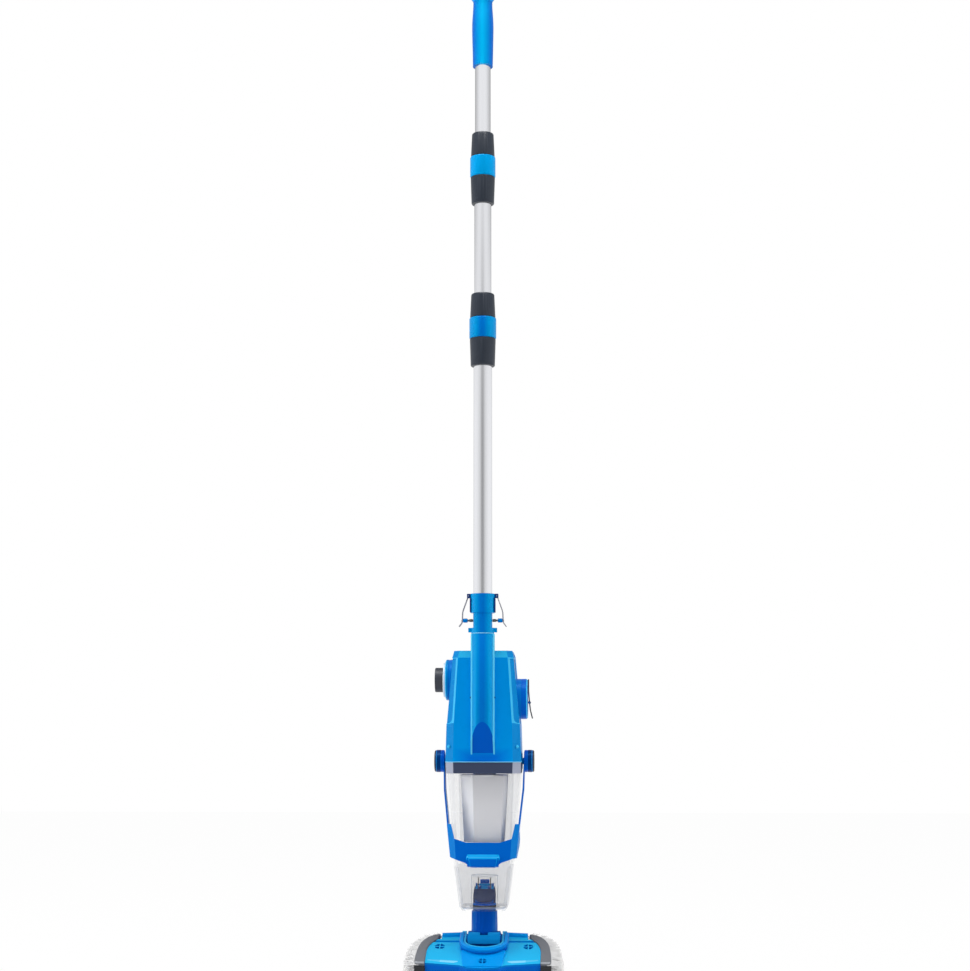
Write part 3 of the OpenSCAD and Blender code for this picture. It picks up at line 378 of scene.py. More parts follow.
def painted_foot_shade(material, colour, low, high, inner, outer):
    """Paints shade towards the foot of a shell and the middle of its width."""
    g = Graph(material.node_tree, fresh=False)
    place = g.own_place()
    off = g.ramp(g.maths("ABSOLUTE", place["X"], 0.0), inner * MM, outer * MM)
    up = g.ramp(place["Z"], low * MM, high * MM)
    g.deepen(g.maths("MAXIMUM", off, up), colour)
    return material


def clear_plastic(name, colour, rough, alpha):
    """A see-through wall: the less alpha, the clearer."""
    return finish(name, linear(*colour), rough, spread=0.02, tone=0.01, depth=0.003, Alpha=alpha)


blue = blue_finish("blue_plastic", (0, 146, 228))
# painted shade low down in the middle of the housing's front
front_blue = painted_foot_shade(blue_finish("front_blue", (0, 146, 228)), (2, 108, 216), -240.0, -226.0, 18.0, 44.0)
# painted shade on the housing's sideways faces, painted light on the boss's outer part and on the bail's cheeks
side_light_shade_blue = blue_finish("side_light_shade_blue", (0, 128, 200), 0.28)
# painted light on the housing's upward top bevel
bevel_painted_light = blue_finish("bevel_painted_light", (44, 176, 226), 0.26)
# painted light on the head's upward wing faces
plate_painted_light = blue_finish("plate_painted_light", (26, 178, 232), 0.24)
cup_blue = blue_finish("cup_blue", (8, 130, 202), 0.28)
# painted glint on the strips along the wings' front edges
wing_painted_glint = blue_finish("wing_painted_glint", (84, 190, 232), 0.14)
socket_blue = blue_finish("socket_blue", (0, 118, 204), 0.28)
ring_blue = blue_finish("ring_blue", (0, 154, 222), 0.3)
# painted shade along the middle of the lower ring, the adapter and the ridge
tube_blue = painted_middle_light(blue_finish("tube_blue", (0, 142, 208), 0.28), (0, 112, 202), 2.5, 9.5)
deep_blue = blue_finish("deep_blue_plastic", (0, 98, 202), 0.32)
# painted shade along the neck's middle
neck_blue = painted_middle_light(blue_finish("neck_blue", (2, 90, 176), 0.3), (0, 72, 172), 10.0, 15.0)
navy = blue_finish("navy_plastic", (0, 50, 116), 0.3)
# painted shade on the ridge's slanted cut, the head's well, its back bars' undersides and the ring's lower wall, and
# as sheets beside the thumb tab; a painted highlight ring on the hubs
shade_glint_blue = blue_finish("painted_shade_and_glint", (0, 84, 192), 0.34)
# painted highlights on edges, rims, ledges and small buttons where the light catches
highlight_blue = blue_finish("painted_edge_highlight", (58, 182, 232), 0.2)
# painted highlight on the beads along the ridge's sides
bead_highlight = blue_finish("bead_highlight", (86, 194, 232), 0.2)
# painted highlight lines: the socket's rim, the seal band's top, the ring round the housing's foot, the glints' tops
pale_highlight = blue_finish("pale_highlight", (128, 208, 240), 0.16)
# painted highlight along the grip's middle, its sides darker
grip_blue = painted_middle_light(blue_finish("grip_blue", (0, 102, 196), 0.42, grain=2600.0, depth=0.06), (0, 178, 236),
                          1.0, 13.0)
slate = finish("slate_plastic", linear(34, 42, 54), 0.34, grain=2200.0, depth=0.04, Specular_IOR_Level=0.38)
white = finish("white_plastic", linear(226, 226, 228), 0.45)
black = finish("black_plastic", linear(50, 54, 64), 0.42, grain=2000.0, depth=0.05, Specular_IOR_Level=0.4)
rubber = finish("black_rubber", linear(30, 31, 35), 0.72, grain=1800.0, depth=0.08)
seal_grey = finish("seal_grey", linear(46, 57, 86), 0.4, Specular_IOR_Level=0.4)
seal_corner = finish("seal_corner", linear(152, 158, 178), 0.3)
flap_grey = finish("flap_rubber", linear(0, 30, 84), 0.6, depth=0.05)
bumper_grey = finish("grey_rubber", linear(104, 107, 113), 0.62, grain=2400.0, depth=0.1)
# painted highlight on the bumpers' front lips
bumper_lip_highlight = finish("grey_rubber_highlight", linear(158, 162, 168), 0.5, grain=2400.0, depth=0.08)
steel = finish("steel", linear(168, 170, 175), 0.32, Metallic=1.0)
spring_steel = finish("spring_steel", linear(150, 151, 160), 0.38, Metallic=0.4)
pin_steel = finish("pin_steel", linear(96, 92, 92), 0.35, Metallic=0.6)
aluminium = finish("drawn_aluminium", linear(237, 238, 242), 0.17, spread=0.02, tone=0.02, grain=900.0, depth=0.03,
                   patch=60.0, stretch=(1.0, 1.0, 0.02), Metallic=1.0)
clear = clear_plastic("clear_plastic", (208, 211, 217), 0.1, 0.12)
clear_front = clear_plastic("clear_plastic_front", (214, 217, 224), 0.08, 0.02)
clear_edge = clear_plastic("clear_plastic_edge", (164, 169, 182), 0.12, 0.5)
clear_back = clear_plastic("clear_plastic_back", (200, 203, 209), 0.12, 0.26)
clear_low = clear_plastic("clear_plastic_low", (202, 204, 210), 0.1, 0.26)
# painted highlight lines on the clear duct's edges and the webs' ends
clear_highlight_line = clear_plastic("clear_plastic_highlight", (222, 230, 244), 0.1, 0.6)
clear_duct = clear_plastic("clear_plastic_duct", (214, 217, 224), 0.08, 0.015)
frosted = finish("frosted_plastic", linear(214, 226, 234), 0.28, depth=0.005)
cloth = make_cloth("filter_cloth", linear(216, 216, 220))
# painted light on the filter's facet that faces the left lamp
side_cloth_light = make_cloth("filter_cloth_painted_light", linear(244, 244, 246))
bristle = finish("bristle_white", linear(250, 250, 250), 0.5, tone=0.02, patch=300.0, Alpha=0.6)
fan = finish("bristle_fan", linear(240, 240, 238), 0.6, tone=0.04, patch=300.0, Alpha=0.6)
wrap = finish("battery_wrap", linear(60, 122, 85), 0.4)
board = finish("circuit_board", linear(47, 107, 69), 0.45)


# ---------- making pieces ----------

MERGE_M, LATHE_MERGE_M = 0.00001, 0.000005


def mm(x, y, z):
    """A place given in millimetres, in metres."""
    return Vector((x * MM, y * MM, z * MM))


def piece(name, bm, material, body, stands_for=(), bevel=0.0, segments=2, sharp=32.0, wall=0.0):
    """Makes the object, gives it its finish and its place in the mechanism."""
    bmesh.ops.recalc_face_normals(bm, faces=bm.faces)
    for face in bm.faces:
        face.smooth = True
    mesh = bpy.data.meshes.new(name)
    bm.to_mesh(mesh)
    bm.free()
    mesh.set_sharp_from_angle(angle=math.radians(sharp))
    made = bpy.data.objects.new(name, mesh)
    bpy.context.scene.collection.objects.link(made)
    for each in material if isinstance(material, (list, tuple)) else [material]:
        mesh.materials.append(each)
    if wall:
        shell = made.modifiers.new("wall", "SOLIDIFY")
        shell.thickness, shell.offset, shell.use_even_offset = wall * MM, -1.0, True
    if bevel:
        edge = made.modifiers.new("edges", "BEVEL")
        edge.width, edge.segments, edge.limit_method = bevel * MM, segments, "ANGLE"
        edge.angle_limit, edge.harden_normals = math.radians(sharp), True
    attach(made, body)
    if stands_for:
        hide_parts(*stands_for)
    return made


def softened(name, node, material, width, segments=2, sharp=32.0, tints=(), shaped=None):
    """A copy of a solid with its edges rounded. Each tint is a test on a face, for the next material."""
    source = nodes[node]
    bm = bmesh.new()
    bm.from_mesh(source.data)
    bmesh.ops.remove_doubles(bm, verts=bm.verts, dist=MERGE_M)
    bmesh.ops.dissolve_limit(bm, angle_limit=math.radians(1.0), verts=bm.verts, edges=bm.edges)
    if shaped:
        shaped(bm)
    tint(bm, *tints)
    return piece(name, bm, material, source["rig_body"], (node,), bevel=width, segments=segments, sharp=sharp)


def tint(bm, *tests):
    """Gives the faces that pass each test the next of the piece's materials."""
    bmesh.ops.recalc_face_normals(bm, faces=bm.faces)
    for index, test in enumerate(tests, 1):
        for face in bm.faces:
            if test(face.normal, face.calc_center_median() / MM):
                face.material_index = index


def all_of(bm):
    """Every point, edge and face."""
    return bm.verts[:] + bm.edges[:] + bm.faces[:]


def points_in(made):
    """The points among what an operator made."""
    return [v for v in made["geom"] if isinstance(v, bmesh.types.BMVert)]


def split_at(bm, point, normal):
    """Draws new edges where a plane crosses the faces."""
    bmesh.ops.bisect_plane(bm, geom=all_of(bm), plane_co=point, plane_no=normal)


def row_of(bm, points):
    """An open row of edges through the points."""
    verts = [bm.verts.new(mm(*p)) for p in points]
    return [bm.edges.new(pair) for pair in zip(verts, verts[1:])]


def loop_of(bm, points):
    """A closed loop of edges through the points."""
    verts = [bm.verts.new(mm(*p)) for p in points]
    return [bm.edges.new((verts[i - 1], verts[i])) for i in range(len(verts))]


def tower(levels, capped=(True, True)):
    """A form bridged from loop to loop, with its two ends closed where they are capped."""
    bm = bmesh.new()
    loops = [loop_of(bm, points) for points in levels]
    for low, high in zip(loops, loops[1:]):
        bmesh.ops.bridge_loops(bm, edges=low + high)
    for loop, closed in zip((loops[0], loops[-1]), capped):
        if closed:
            bmesh.ops.contextual_create(bm, geom=loop)
    return bm


def lathe(profile, axis="Z", centre=(0.0, 0.0, 0.0), steps=72, turn=360.0, start=0.0):
    """Spins a profile of (radius, place along the axis) about an axis through the centre."""
    bm = bmesh.new()
    start = math.radians(start)
    verts = []
    for radius, along in profile:
        if axis == "Z":
            at = mm(radius, 0.0, along)
        else:
            at = mm(along, -radius * math.cos(start), radius * math.sin(start))
        verts.append(bm.verts.new(at + mm(*centre)))
    edges = [bm.edges.new(pair) for pair in zip(verts, verts[1:])]
    closes = turn >= 360.0
    way = (0.0, 0.0, 1.0) if axis == "Z" else (-1.0, 0.0, 0.0)
    bmesh.ops.spin(bm, geom=verts + edges, cent=mm(*centre), axis=way, angle=math.radians(turn), steps=steps,
                   use_merge=closes)
    if not closes:
        bmesh.ops.holes_fill(bm, edges=bm.edges, sides=0)
    bmesh.ops.remove_doubles(bm, verts=bm.verts, dist=LATHE_MERGE_M)
    return bm


def ringed(inner, outer, low, high, chamfer=0.0):
    """The closed profile of a ring with its outer corners taken off."""
    return [(inner, low), (outer - chamfer, low), (outer, low + chamfer), (outer, high - chamfer),
            (outer - chamfer, high), (inner, high), (inner, low)]


def plain_ring(inner, outer, low, high):
    """The closed profile of a square-edged ring."""
    return [(inner, low), (outer, low), (outer, high), (inner, high), (inner, low)]


def block(low, high):
    """A box from one corner to the other."""
    bm = bmesh.new()
    bmesh.ops.create_cube(bm, size=1.0)
    low, high = Vector(low), Vector(high)
    bmesh.ops.scale(bm, vec=(high - low) * MM, verts=bm.verts)
    bmesh.ops.translate(bm, vec=(low + high) * MM / 2, verts=bm.verts)
    return bm


def prism(points, along):
    """A flat outline pushed through a distance."""
    bm = bmesh.new()
    bmesh.ops.contextual_create(bm, geom=loop_of(bm, points))
    made = bmesh.ops.extrude_face_region(bm, geom=bm.faces[:])
    bmesh.ops.translate(bm, vec=mm(*along), verts=points_in(made))
    return bm


def cut_off(bm, point, normal):
    """Takes off what stands out past a plane, and closes the cut."""
    cut = bmesh.ops.bisect_plane(bm, geom=all_of(bm), plane_co=mm(*point), plane_no=Vector(normal).normalized(),
                                 clear_outer=True)
    edges = [e for e in cut["geom_cut"] if isinstance(e, bmesh.types.BMEdge)]
    bmesh.ops.holes_fill(bm, edges=edges, sides=0)


def joined(*parts):
    """Several forms as one."""
    bm = bmesh.new()
    for part in parts:
        mesh = bpy.data.meshes.new("part")
        part.to_mesh(mesh)
        part.free()
        bm.from_mesh(mesh)
        bpy.data.meshes.remove(mesh)
    return bm


def mirrored(bm):
    """The form and its twin on the other side of X = 0."""
    made = bmesh.ops.duplicate(bm, geom=all_of(bm))
    bmesh.ops.scale(bm, vec=(-1.0, 1.0, 1.0), verts=points_in(made))
    bmesh.ops.reverse_faces(bm, faces=[f for f in made["geom"] if isinstance(f, bmesh.types.BMFace)])
    return bm


def dome(place, out, radius, height):
    """A small round button standing on a surface that faces the way out."""
    profile = [(radius, -0.8), (radius, 0.2 * height), (0.75 * radius, 0.75 * height), (0.4 * radius, 0.95 * height),
               (0.0, height)]
    bm = lathe(profile, steps=20)
    turn = Vector((0.0, 0.0, 1.0)).rotation_difference(Vector(out)).to_matrix()
    bmesh.ops.rotate(bm, cent=(0.0, 0.0, 0.0), matrix=turn, verts=bm.verts)
    bmesh.ops.translate(bm, vec=mm(*place), verts=bm.verts)
    return bm


def finish_nodes():
    """Gives every solid that stays its own finish."""
    kept = {
        aluminium: ("upper_tube", "middle_tube", "lower_tube"),
        steel: ("clip_hinge_pins", "housing_screws", "motor", "flap_pin", "head_pivot_pins"),
        slate: ("upper_guide", "middle_guide", "rotary_switch"),
        white: ("upper_collet", "lower_collet", "impeller", "filter_frame"),
        black: ("charge_socket", "battery_holder", "outlet_grille", "left_roller", "right_roller"),
        rubber: ("housing_gasket", "shaft_seal", "inlet_oring"),
        deep_blue: ("bulkhead", "pump_casing", "port_lever_pin", "head_base"),
        wrap: ("battery_cells",),
        board: ("control_board",),
        blue: ("bail_studs",),
    }
    for material, names in kept.items():
        for name in names:
            data = nodes[name].data
            data.materials.clear()
            data.materials.append(material)


# ---------- pole ----------

# the grip's rim, as high as it arches, keeps this share of its rise; nuts and rings drop by this much
RIM_RISE, RIM_SHARE = 9.0, 0.45
NUT_DROP, RING_DROP = 4.5, 2.0
NUT_REACH = 60.0


def lowered(*bands):
    """Lowers what lies in each band of heights, given as (low, high, drop)."""
    def lower(bm):
        for vert in bm.verts:
            z = vert.co.z / MM
            vert.co.z -= sum(drop for low, high, drop in bands if low < z < high) * MM
    return lower


def flatter_rim(bm):
    """Makes the arch in the grip's lower rim shallower."""
    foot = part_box("grip")[0].z
    for vert in bm.verts:
        if vert.co.z < foot + RIM_RISE * MM:
            vert.co.z = foot + (vert.co.z - foot) * RIM_SHARE


def make_pole():
    """The grip, and the two clamps, set a little lower than their solids."""
    softened("grip_sleeve", "grip", grip_blue, 0.8, shaped=flatter_rim)
    softened("grip_end", "end_cap", blue, 0.6)
    for level, ring_finish in (("upper", ring_blue), ("lower", tube_blue)):
        foot, top = (corner.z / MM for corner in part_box(f"{level}_clamp_ring"))
        softened(f"{level}_nut", f"{level}_clamp_nut", slate, 0.5, shaped=lowered((top, top + NUT_REACH, NUT_DROP)))
        softened(f"{level}_ring", f"{level}_clamp_ring", ring_finish, 0.5,
                 shaped=lowered((foot - 1.0, foot + 2.0, RING_DROP), (top - 2.0, top + 1.0, NUT_DROP)))
        softened(f"{level}_sleeve", f"{level}_clamp_sleeve", slate, 0.5,
                 shaped=lowered((foot - 3.0, foot + 0.5, RING_DROP)))


ADAPTER_R = 18.2
CLIP_PATH = [(21.6, -3.4), (29.8, -26.6), (30.4, -42.4), (35.0, -48.5)]
PIN_Z = -39.4
CORE_R = 14.3
SPRING_FRONT, SPRING_WIDTH, SPRING_BEND, SPRING_WALL = -3.0, 6.0, 2.2, 1.6
PIN_SHANK = [(0.0, 14.5), (1.5, 14.5), (2.2, 15.2), (2.2, 19.4), (1.5, 20.0), (1.5, 31.6), (0.0, 31.6)]
PIN_HEAD = [(0.0, 22.4), (2.4, 22.4), (3.1, 23.2), (3.1, 28.0), (2.2, 29.8), (0.0, 29.8)]


def make_adapter():
    """The pole's adapter, dark plates at its sides that stand for the shade there, and the core seen through its
    window.
    """
    # painted shade on the adapter's sides, a painted highlight on its top
    softened("adapter", "pole_adapter", [tube_blue, navy, highlight_blue], 0.4, tints=[
        lambda n, at: (abs(at.x) > 18.6 and at.z > -7.0) or (abs(at.x) > 20.6 and at.z < -50.0),
        lambda n, at: n.z > 0.6 and at.z > -0.5])
    # dark plates that stand for the shade at the adapter's sides
    slab = block((16.7, -8.6, -27.4), (ADAPTER_R + 0.7, 8.6, -6.4))
    piece("adapter_shade_plates", mirrored(slab), navy, "housing", bevel=0.4)
    core = lathe(ringed(CORE_R - 0.7, CORE_R, -50.8, -27.8), steps=64)
    piece("adapter_core", core, tube_blue, "housing")


def make_clips():
    """The two sprung clips: a bent strip of steel with a pin that reaches into the pole."""
    def on_head(n, at):
        off_pin = (at.yz - Vector((0.0, PIN_Z))).length
        return abs(at.x) > 22.3 and off_pin > 1.55 or abs(at.x) > 29.7

    for hand, side in (("left", -1), ("right", 1)):
        strip = bmesh.new()
        row_of(strip, [(side * x, SPRING_FRONT, z) for x, z in CLIP_PATH])
        bmesh.ops.bevel(strip, geom=strip.verts[:][1:-1], offset=SPRING_BEND * MM, segments=4, profile=0.5,
                        material=-1, affect="VERTICES", offset_type="OFFSET")
        made = bmesh.ops.extrude_edge_only(strip, edges=strip.edges[:])
        bmesh.ops.translate(strip, vec=mm(0.0, SPRING_WIDTH, 0.0), verts=points_in(made))
        spring = piece(f"{hand}_spring", strip, spring_steel, f"{hand}_clip", (f"{hand}_clip_spring",), sharp=60.0,
                       wall=SPRING_WALL)
        spring.modifiers["wall"].offset = 0.0
        turned = [lathe([(r, side * x) for r, x in profile], "X", (0.0, 0.0, PIN_Z), steps=28)
                  for profile in (PIN_SHANK, PIN_HEAD)]
        pin = joined(*turned)
        tint(pin, on_head)
        piece(f"{hand}_pin", pin, [pin_steel, socket_blue], f"{hand}_clip", (f"{hand}_clip_pin",), bevel=0.2)


# ---------- housing ----------

RIDGE_R = 17.0
SOCKET_TOP = -57.9
CUT_HIGH, CUT_LOW = (0.0, -RIDGE_R, -188.8), (0.0, 2.0, -233.8)
CUT_OUT = (0.0, CUT_LOW[2] - CUT_HIGH[2], CUT_HIGH[1] - CUT_LOW[1])
# the outline at four heights: half its width, half the flat of its front, and where its front is
TOP_PLAN, BEVEL_PLAN = (43.3, 35.0, 7.0), (45.9, 37.1, 2.0)
WAIST_PLAN, BASE_PLAN = (54.5, 43.0, 2.0), (56.0, 44.0, 2.0)
LOW_BEVEL_Z = BEVEL_Z - 3.6
SPLIT_Y = BODY_Y - HALF_SPLIT
RIM_WIDTH = 2.8
FACET_DEPTH, SHELL_WALL = 1.1, 2.6
# the rounded foot of each sunk facet: the height above the waist and the rim's width there
FACET_FOOT = [(9.0, RIM_WIDTH), (5.0, 3.6), (2.6, 5.2), (1.2, 8.5)]
RIDGE_FOOT = -236.0
BORE_R, BORE_FOOT_Z = 14.6, -150.0
BORE_HOLE_R, BORE_HOLE_FOOT_Z = 15.7, BORE_FOOT_Z - 4.0


def between(first, second, share):
    """The values a share of the way from the first to the second."""
    return [a + (b - a) * share for a, b in zip(first, second)]


def half_plan(z, plan, sunk=0.0, rim=RIM_WIDTH):
    """The front half of the housing's outline, its corner facets sunk below the rims of the flat."""
    width, flat, front = plan
    right = [(flat, front), (flat + rim, front + rim + 1.6 * sunk),
             (width - 0.5 * sunk, front + width - flat + 0.5 * sunk), (width - 0.5 * sunk, SPLIT_Y)]
    return [(-x, y, z) for x, y in reversed(right)] + [(x, y, z) for x, y in right]


def full_plan(z, plan, out):
    """The housing's whole outline, a little way out from it."""
    width, flat, front = plan[0] + out, plan[1] + out, plan[2] - out
    back = 2 * BODY_Y - front
    corner = width - flat
    right = [(flat, front), (width, front + corner), (width, back - corner), (flat, back)]
    return [(x, y, z) for x, y in right] + [(-x, y, z) for x, y in reversed(right)]


def open_tower(levels):
    """A form bridged between open rows of edges, left open at its ends and its back."""
    bm = bmesh.new()
    rows = []
    for points in levels:
        rows.append(row_of(bm, points))
    for low, high in zip(rows, rows[1:]):
        bmesh.ops.bridge_loops(bm, edges=low + high)
    return bm, rows


def open_for_pole(bm):
    """Takes out what lies inside the round hole where the pole comes down."""
    for turn in range(0, 360, 30):
        way = Vector((math.cos(math.radians(turn)), math.sin(math.radians(turn)), 0.0))
        split_at(bm, way * BORE_HOLE_R * MM, way)
    split_at(bm, mm(0.0, 0.0, BORE_HOLE_FOOT_Z), (0.0, 0.0, 1.0))
    inside = []
    for face in bm.faces:
        at = face.calc_center_median() / MM
        if at.z > BORE_HOLE_FOOT_Z and math.hypot(at.x, at.y) < BORE_HOLE_R:
            inside.append(face)
    bmesh.ops.delete(bm, geom=inside, context="FACES")


def make_front_shell():
    """The housing's front half, its corner facets sunk, with painted light on its top bevel, painted shade on its
    sides and painted highlights on its rims and ledges.
    """
    levels = [half_plan(HOUSING_TOP, TOP_PLAN), half_plan(LOW_BEVEL_Z, BEVEL_PLAN),
              half_plan(LOW_BEVEL_Z - 1.4, BEVEL_PLAN, FACET_DEPTH)]
    for above, rim in FACET_FOOT:
        plan = between(WAIST_PLAN, BEVEL_PLAN, above / (LOW_BEVEL_Z - WAIST_Z))
        levels.append(half_plan(WAIST_Z + above, plan, FACET_DEPTH, rim))
    levels += [half_plan(WAIST_Z, WAIST_PLAN), half_plan(HOUSING_BASE, BASE_PLAN)]
    bm, rows = open_tower(levels)
    top = bmesh.ops.extrude_edge_only(bm, edges=rows[0])
    for vert in points_in(top):
        vert.co.y = SPLIT_Y * MM
    bmesh.ops.remove_doubles(bm, verts=bm.verts, dist=MERGE_M)
    bmesh.ops.dissolve_degenerate(bm, dist=MERGE_M, edges=bm.edges)
    open_for_pole(bm)

    def on_rim(n, at):
        beside_facet = 34.0 < abs(at.x) < 47.0 and at.y < 8.6 and WAIST_Z < at.z < LOW_BEVEL_Z
        return beside_facet and 0.76 < abs(n.x) < 0.98 and abs(n.z) < 0.55

    def on_ledge(n, at):
        foot = abs(at.z - WAIST_Z) < 1.3 and n.z > 0.3
        head = abs(at.z - (LOW_BEVEL_Z - 0.7)) < 0.7 and n.z < -0.2
        return foot or head

    # painted light on the top bevel, painted shade on the sides, painted highlights on the rims and ledges
    tint(bm, lambda n, at: at.z > LOW_BEVEL_Z and n.z > 0.25, lambda n, at: abs(n.x) > 0.5, on_rim, on_ledge)
    piece("front_shell", bm, [front_blue, bevel_painted_light, side_light_shade_blue, highlight_blue, highlight_blue], "housing",
          ("front_housing",), bevel=0.7, sharp=24.0, wall=SHELL_WALL)


def make_ridge():
    """The tube that takes the pole, sunk in the housing's front and cut off on a slant."""
    profile = [(0.0, RIDGE_FOOT), (RIDGE_R, RIDGE_FOOT), (RIDGE_R, SOCKET_TOP - 1.0), (RIDGE_R - 0.8, SOCKET_TOP),
               (BORE_R, SOCKET_TOP), (BORE_R, BORE_FOOT_Z), (0.0, BORE_FOOT_Z)]
    ridge = lathe(profile, steps=96)
    cut_off(ridge, CUT_HIGH, CUT_OUT)
    slope = Vector(CUT_OUT).normalized()
    # painted shade on the slanted cut
    tint(ridge, lambda n, at: n.dot(slope) > 0.97 and at.z < -185.0)
    piece("ridge", ridge, [tube_blue, shade_glint_blue], "housing", bevel=0.5, sharp=40.0)
    # a pale ring at the socket's top, a painted highlight
    rim = lathe(ringed(RIDGE_R - 1.6, RIDGE_R + 0.25, SOCKET_TOP - 1.5, SOCKET_TOP - 0.1, 0.5), steps=96)
    piece("socket_rim_highlight", rim, pale_highlight, "housing")
    # beads along the ridge's sides, in a painted highlight colour
    bead = tower([[(14.8, -8.0, z), (15.6, -8.2, z), (17.3, -5.6, z), (17.8, -2.4, z), (17.8, 4.0, z), (15.6, 4.0, z)]
                  for z in (SOCKET_TOP - 1.6, RIDGE_FOOT)])
    cut_off(bead, (0.0, CUT_HIGH[1] - 1.0, CUT_HIGH[2]), CUT_OUT)
    piece("ridge_beads", mirrored(bead), bead_highlight, "housing", bevel=0.5, segments=3)
    piece("ridge_buttons", mirrored(dome((17.4, -3.6, -153.0), (0.8, -0.6, 0.0), 1.7, 1.5)), navy, "housing")
    piece("corner_buttons", mirrored(dome((50.6, 7.4, -224.5), (0.70, -0.70, 0.0), 2.6, 1.8)), highlight_blue, "housing")


KNOB_Z, CAP_Z = -125.4, -153.9
# beyond this radius the boss's and the cap's end faces get a painted highlight
EDGE_HIGHLIGHT_R = 28.0


def make_sides():
    """The switch's boss, collar and knob on the left, the charging port's cap and lever on the right."""
    centre = (0.0, BODY_Y, KNOB_Z)
    boss = lathe([(0.0, -44.0), (30.5, -44.0), (30.5, -51.2), (29.9, -51.8), (29.9, -52.6), (30.5, -53.2),
                  (30.5, -56.6), (29.2, -58.0), (0.0, -58.0)], "X", centre, steps=96)
    # painted light on the boss's outer part and a painted highlight on its rim
    tint(boss, lambda n, at: at.x < -53.0, lambda n, at: n.x < -0.3 and at.x < -56.0
         and (at - Vector(centre)).yz.length > EDGE_HIGHLIGHT_R)
    piece("boss", boss, [socket_blue, side_light_shade_blue, highlight_blue], "housing", ("switch_boss",), bevel=0.5, segments=3)
    collar = lathe([(0.0, -57.8), (26.0, -57.8), (26.0, -60.4), (25.2, -61.4), (21.0, -61.4), (20.4, -60.8),
                    (19.2, -60.8), (19.2, -61.8), (0.0, -61.8)], "X", centre, steps=96)
    piece("collar", collar, frosted, "housing", ("knob_collar",), bevel=0.3)
    softened("knob", "switch_knob", black, 0.8)
    centre = (0.0, BODY_Y, CAP_Z)
    cap = lathe([(0.0, 48.0), (30.0, 48.0), (30.0, 55.6), (29.6, 56.0), (30.0, 56.4), (30.0, 63.4), (28.6, 65.0),
                 (23.0, 65.0), (22.2, 64.2), (21.0, 64.2), (20.2, 65.0), (0.0, 65.0)], "X", centre, steps=96)
    # painted light on the cap's inner part and a painted highlight on its rim
    tint(cap, lambda n, at: at.x < 56.0, lambda n, at: n.x > 0.3 and at.x > 63.5
         and (at - Vector(centre)).yz.length > EDGE_HIGHLIGHT_R)
    piece("cap", cap, [deep_blue, socket_blue, highlight_blue], "housing", ("port_cap",), bevel=0.4, segments=3)
    softened("lever", "port_lever", black, 0.3)


# ---------- canister and bail ----------

BAIL_Z = -246.0
BAND_LOW = -399.0
BAND_FRONT = 7.0
DUCT_TOP, DUCT_R = -412.0, 20.5
FLOOR_Z, FLOOR_DROP, FLOOR_INNER_R = -450.0, 4.8, 21.0
WALL_DEPTH = 15.0
SOCK_TOP, SOCK_FOOT = (-266.3, 34.8, 1.0), (-363.7, 29.8, 0.87)
# down each cheek: height, how far it leans in, how far it stands out and how far back its front is
CHEEK_LEVELS = ((-340.0, 3.6, -3.2, 13.0), (-350.0, 6.1, 1.4, 4.0), (-360.0, 7.0, 2.8, 0.0),
                (-370.0, 7.9, 2.8, 0.0), (-388.0, 9.4, 0.6, 4.0))
# up the thumb tab: half width and rise at its root, then half width, how far it stands out and rise at its face
TAB_LEVELS = ((18.6, -0.6, 18.0, 4.4, 1.4), (26.0, 13.0, 20.4, 5.6, 12.0), (25.0, 18.6, 22.4, 0.8, 18.6))


def off_axis(at):
    """How far a place is from the body's own upright axis."""
    return (at - Vector((0.0, BODY_Y, at.z))).length


def deeper(bm):
    """Drops the bowl's floor to just above the duct's foot, and parts its walls below the bail."""
    for vert in bm.verts:
        if vert.co.z / MM < FLOOR_Z and off_axis(vert.co / MM) > FLOOR_INNER_R:
            vert.co.z -= FLOOR_DROP * MM
    split_at(bm, mm(0.0, 0.0, BAND_LOW), (0.0, 0.0, 1.0))


def make_canister():
    """The seal band, the clear bowl and the filter in it."""
    # a painted highlight on the band's top faces
    softened("band", "seal_band", [seal_grey, seal_corner, pale_highlight], 0.4, tints=[
        lambda n, at: 0.4 < abs(n.x) < 0.93 and n.y < -0.3,
        lambda n, at: n.z > 0.8])

    def level(n, at):
        return abs(n.z) > 0.7

    def front(n, at):
        return abs(n.y) > 0.8 and at.y < BODY_Y - WALL_DEPTH

    def back(n, at):
        return abs(n.y) > 0.8 and at.y > BODY_Y + WALL_DEPTH

    def duct(n, at):
        return at.z < DUCT_TOP and off_axis(at) < DUCT_R

    def low_side(n, at):
        return at.z < BAND_LOW and not (level(n, at) or front(n, at) or duct(n, at))

    softened("bowl", "canister", [clear, clear_edge, clear_front, clear_back, clear_duct, clear_low], 0.6,
             shaped=deeper, tints=[level, front, back, duct, low_side])
    sock = tower([[(-w, 40.0, z), (-16.0 * k, 17.4, z), (30.0 * k, 17.4, z), (w, 25.0, z), (w, 77.0, z),
                   (24.0 * k, 86.6, z), (-24.0 * k, 86.6, z), (-w, 77.0, z)] for z, w, k in (SOCK_TOP, SOCK_FOOT)])
    # painted light on the facet that faces left
    tint(sock, lambda n, at: -0.95 < n.x < -0.4)
    piece("filter_sock", sock, [cloth, side_cloth_light], nodes["filter_mesh"]["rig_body"], ("filter_mesh",), bevel=0.6)
    # a thin pale ring at the housing's foot, a painted highlight line above the seal band
    highlight_band = tower([full_plan(z, BASE_PLAN, 0.3) for z in (HOUSING_BASE - 0.5, HOUSING_BASE + 0.5)], (False, False))
    piece("base_highlight_ring", highlight_band, pale_highlight, "housing", wall=0.8)
    make_duct_details()


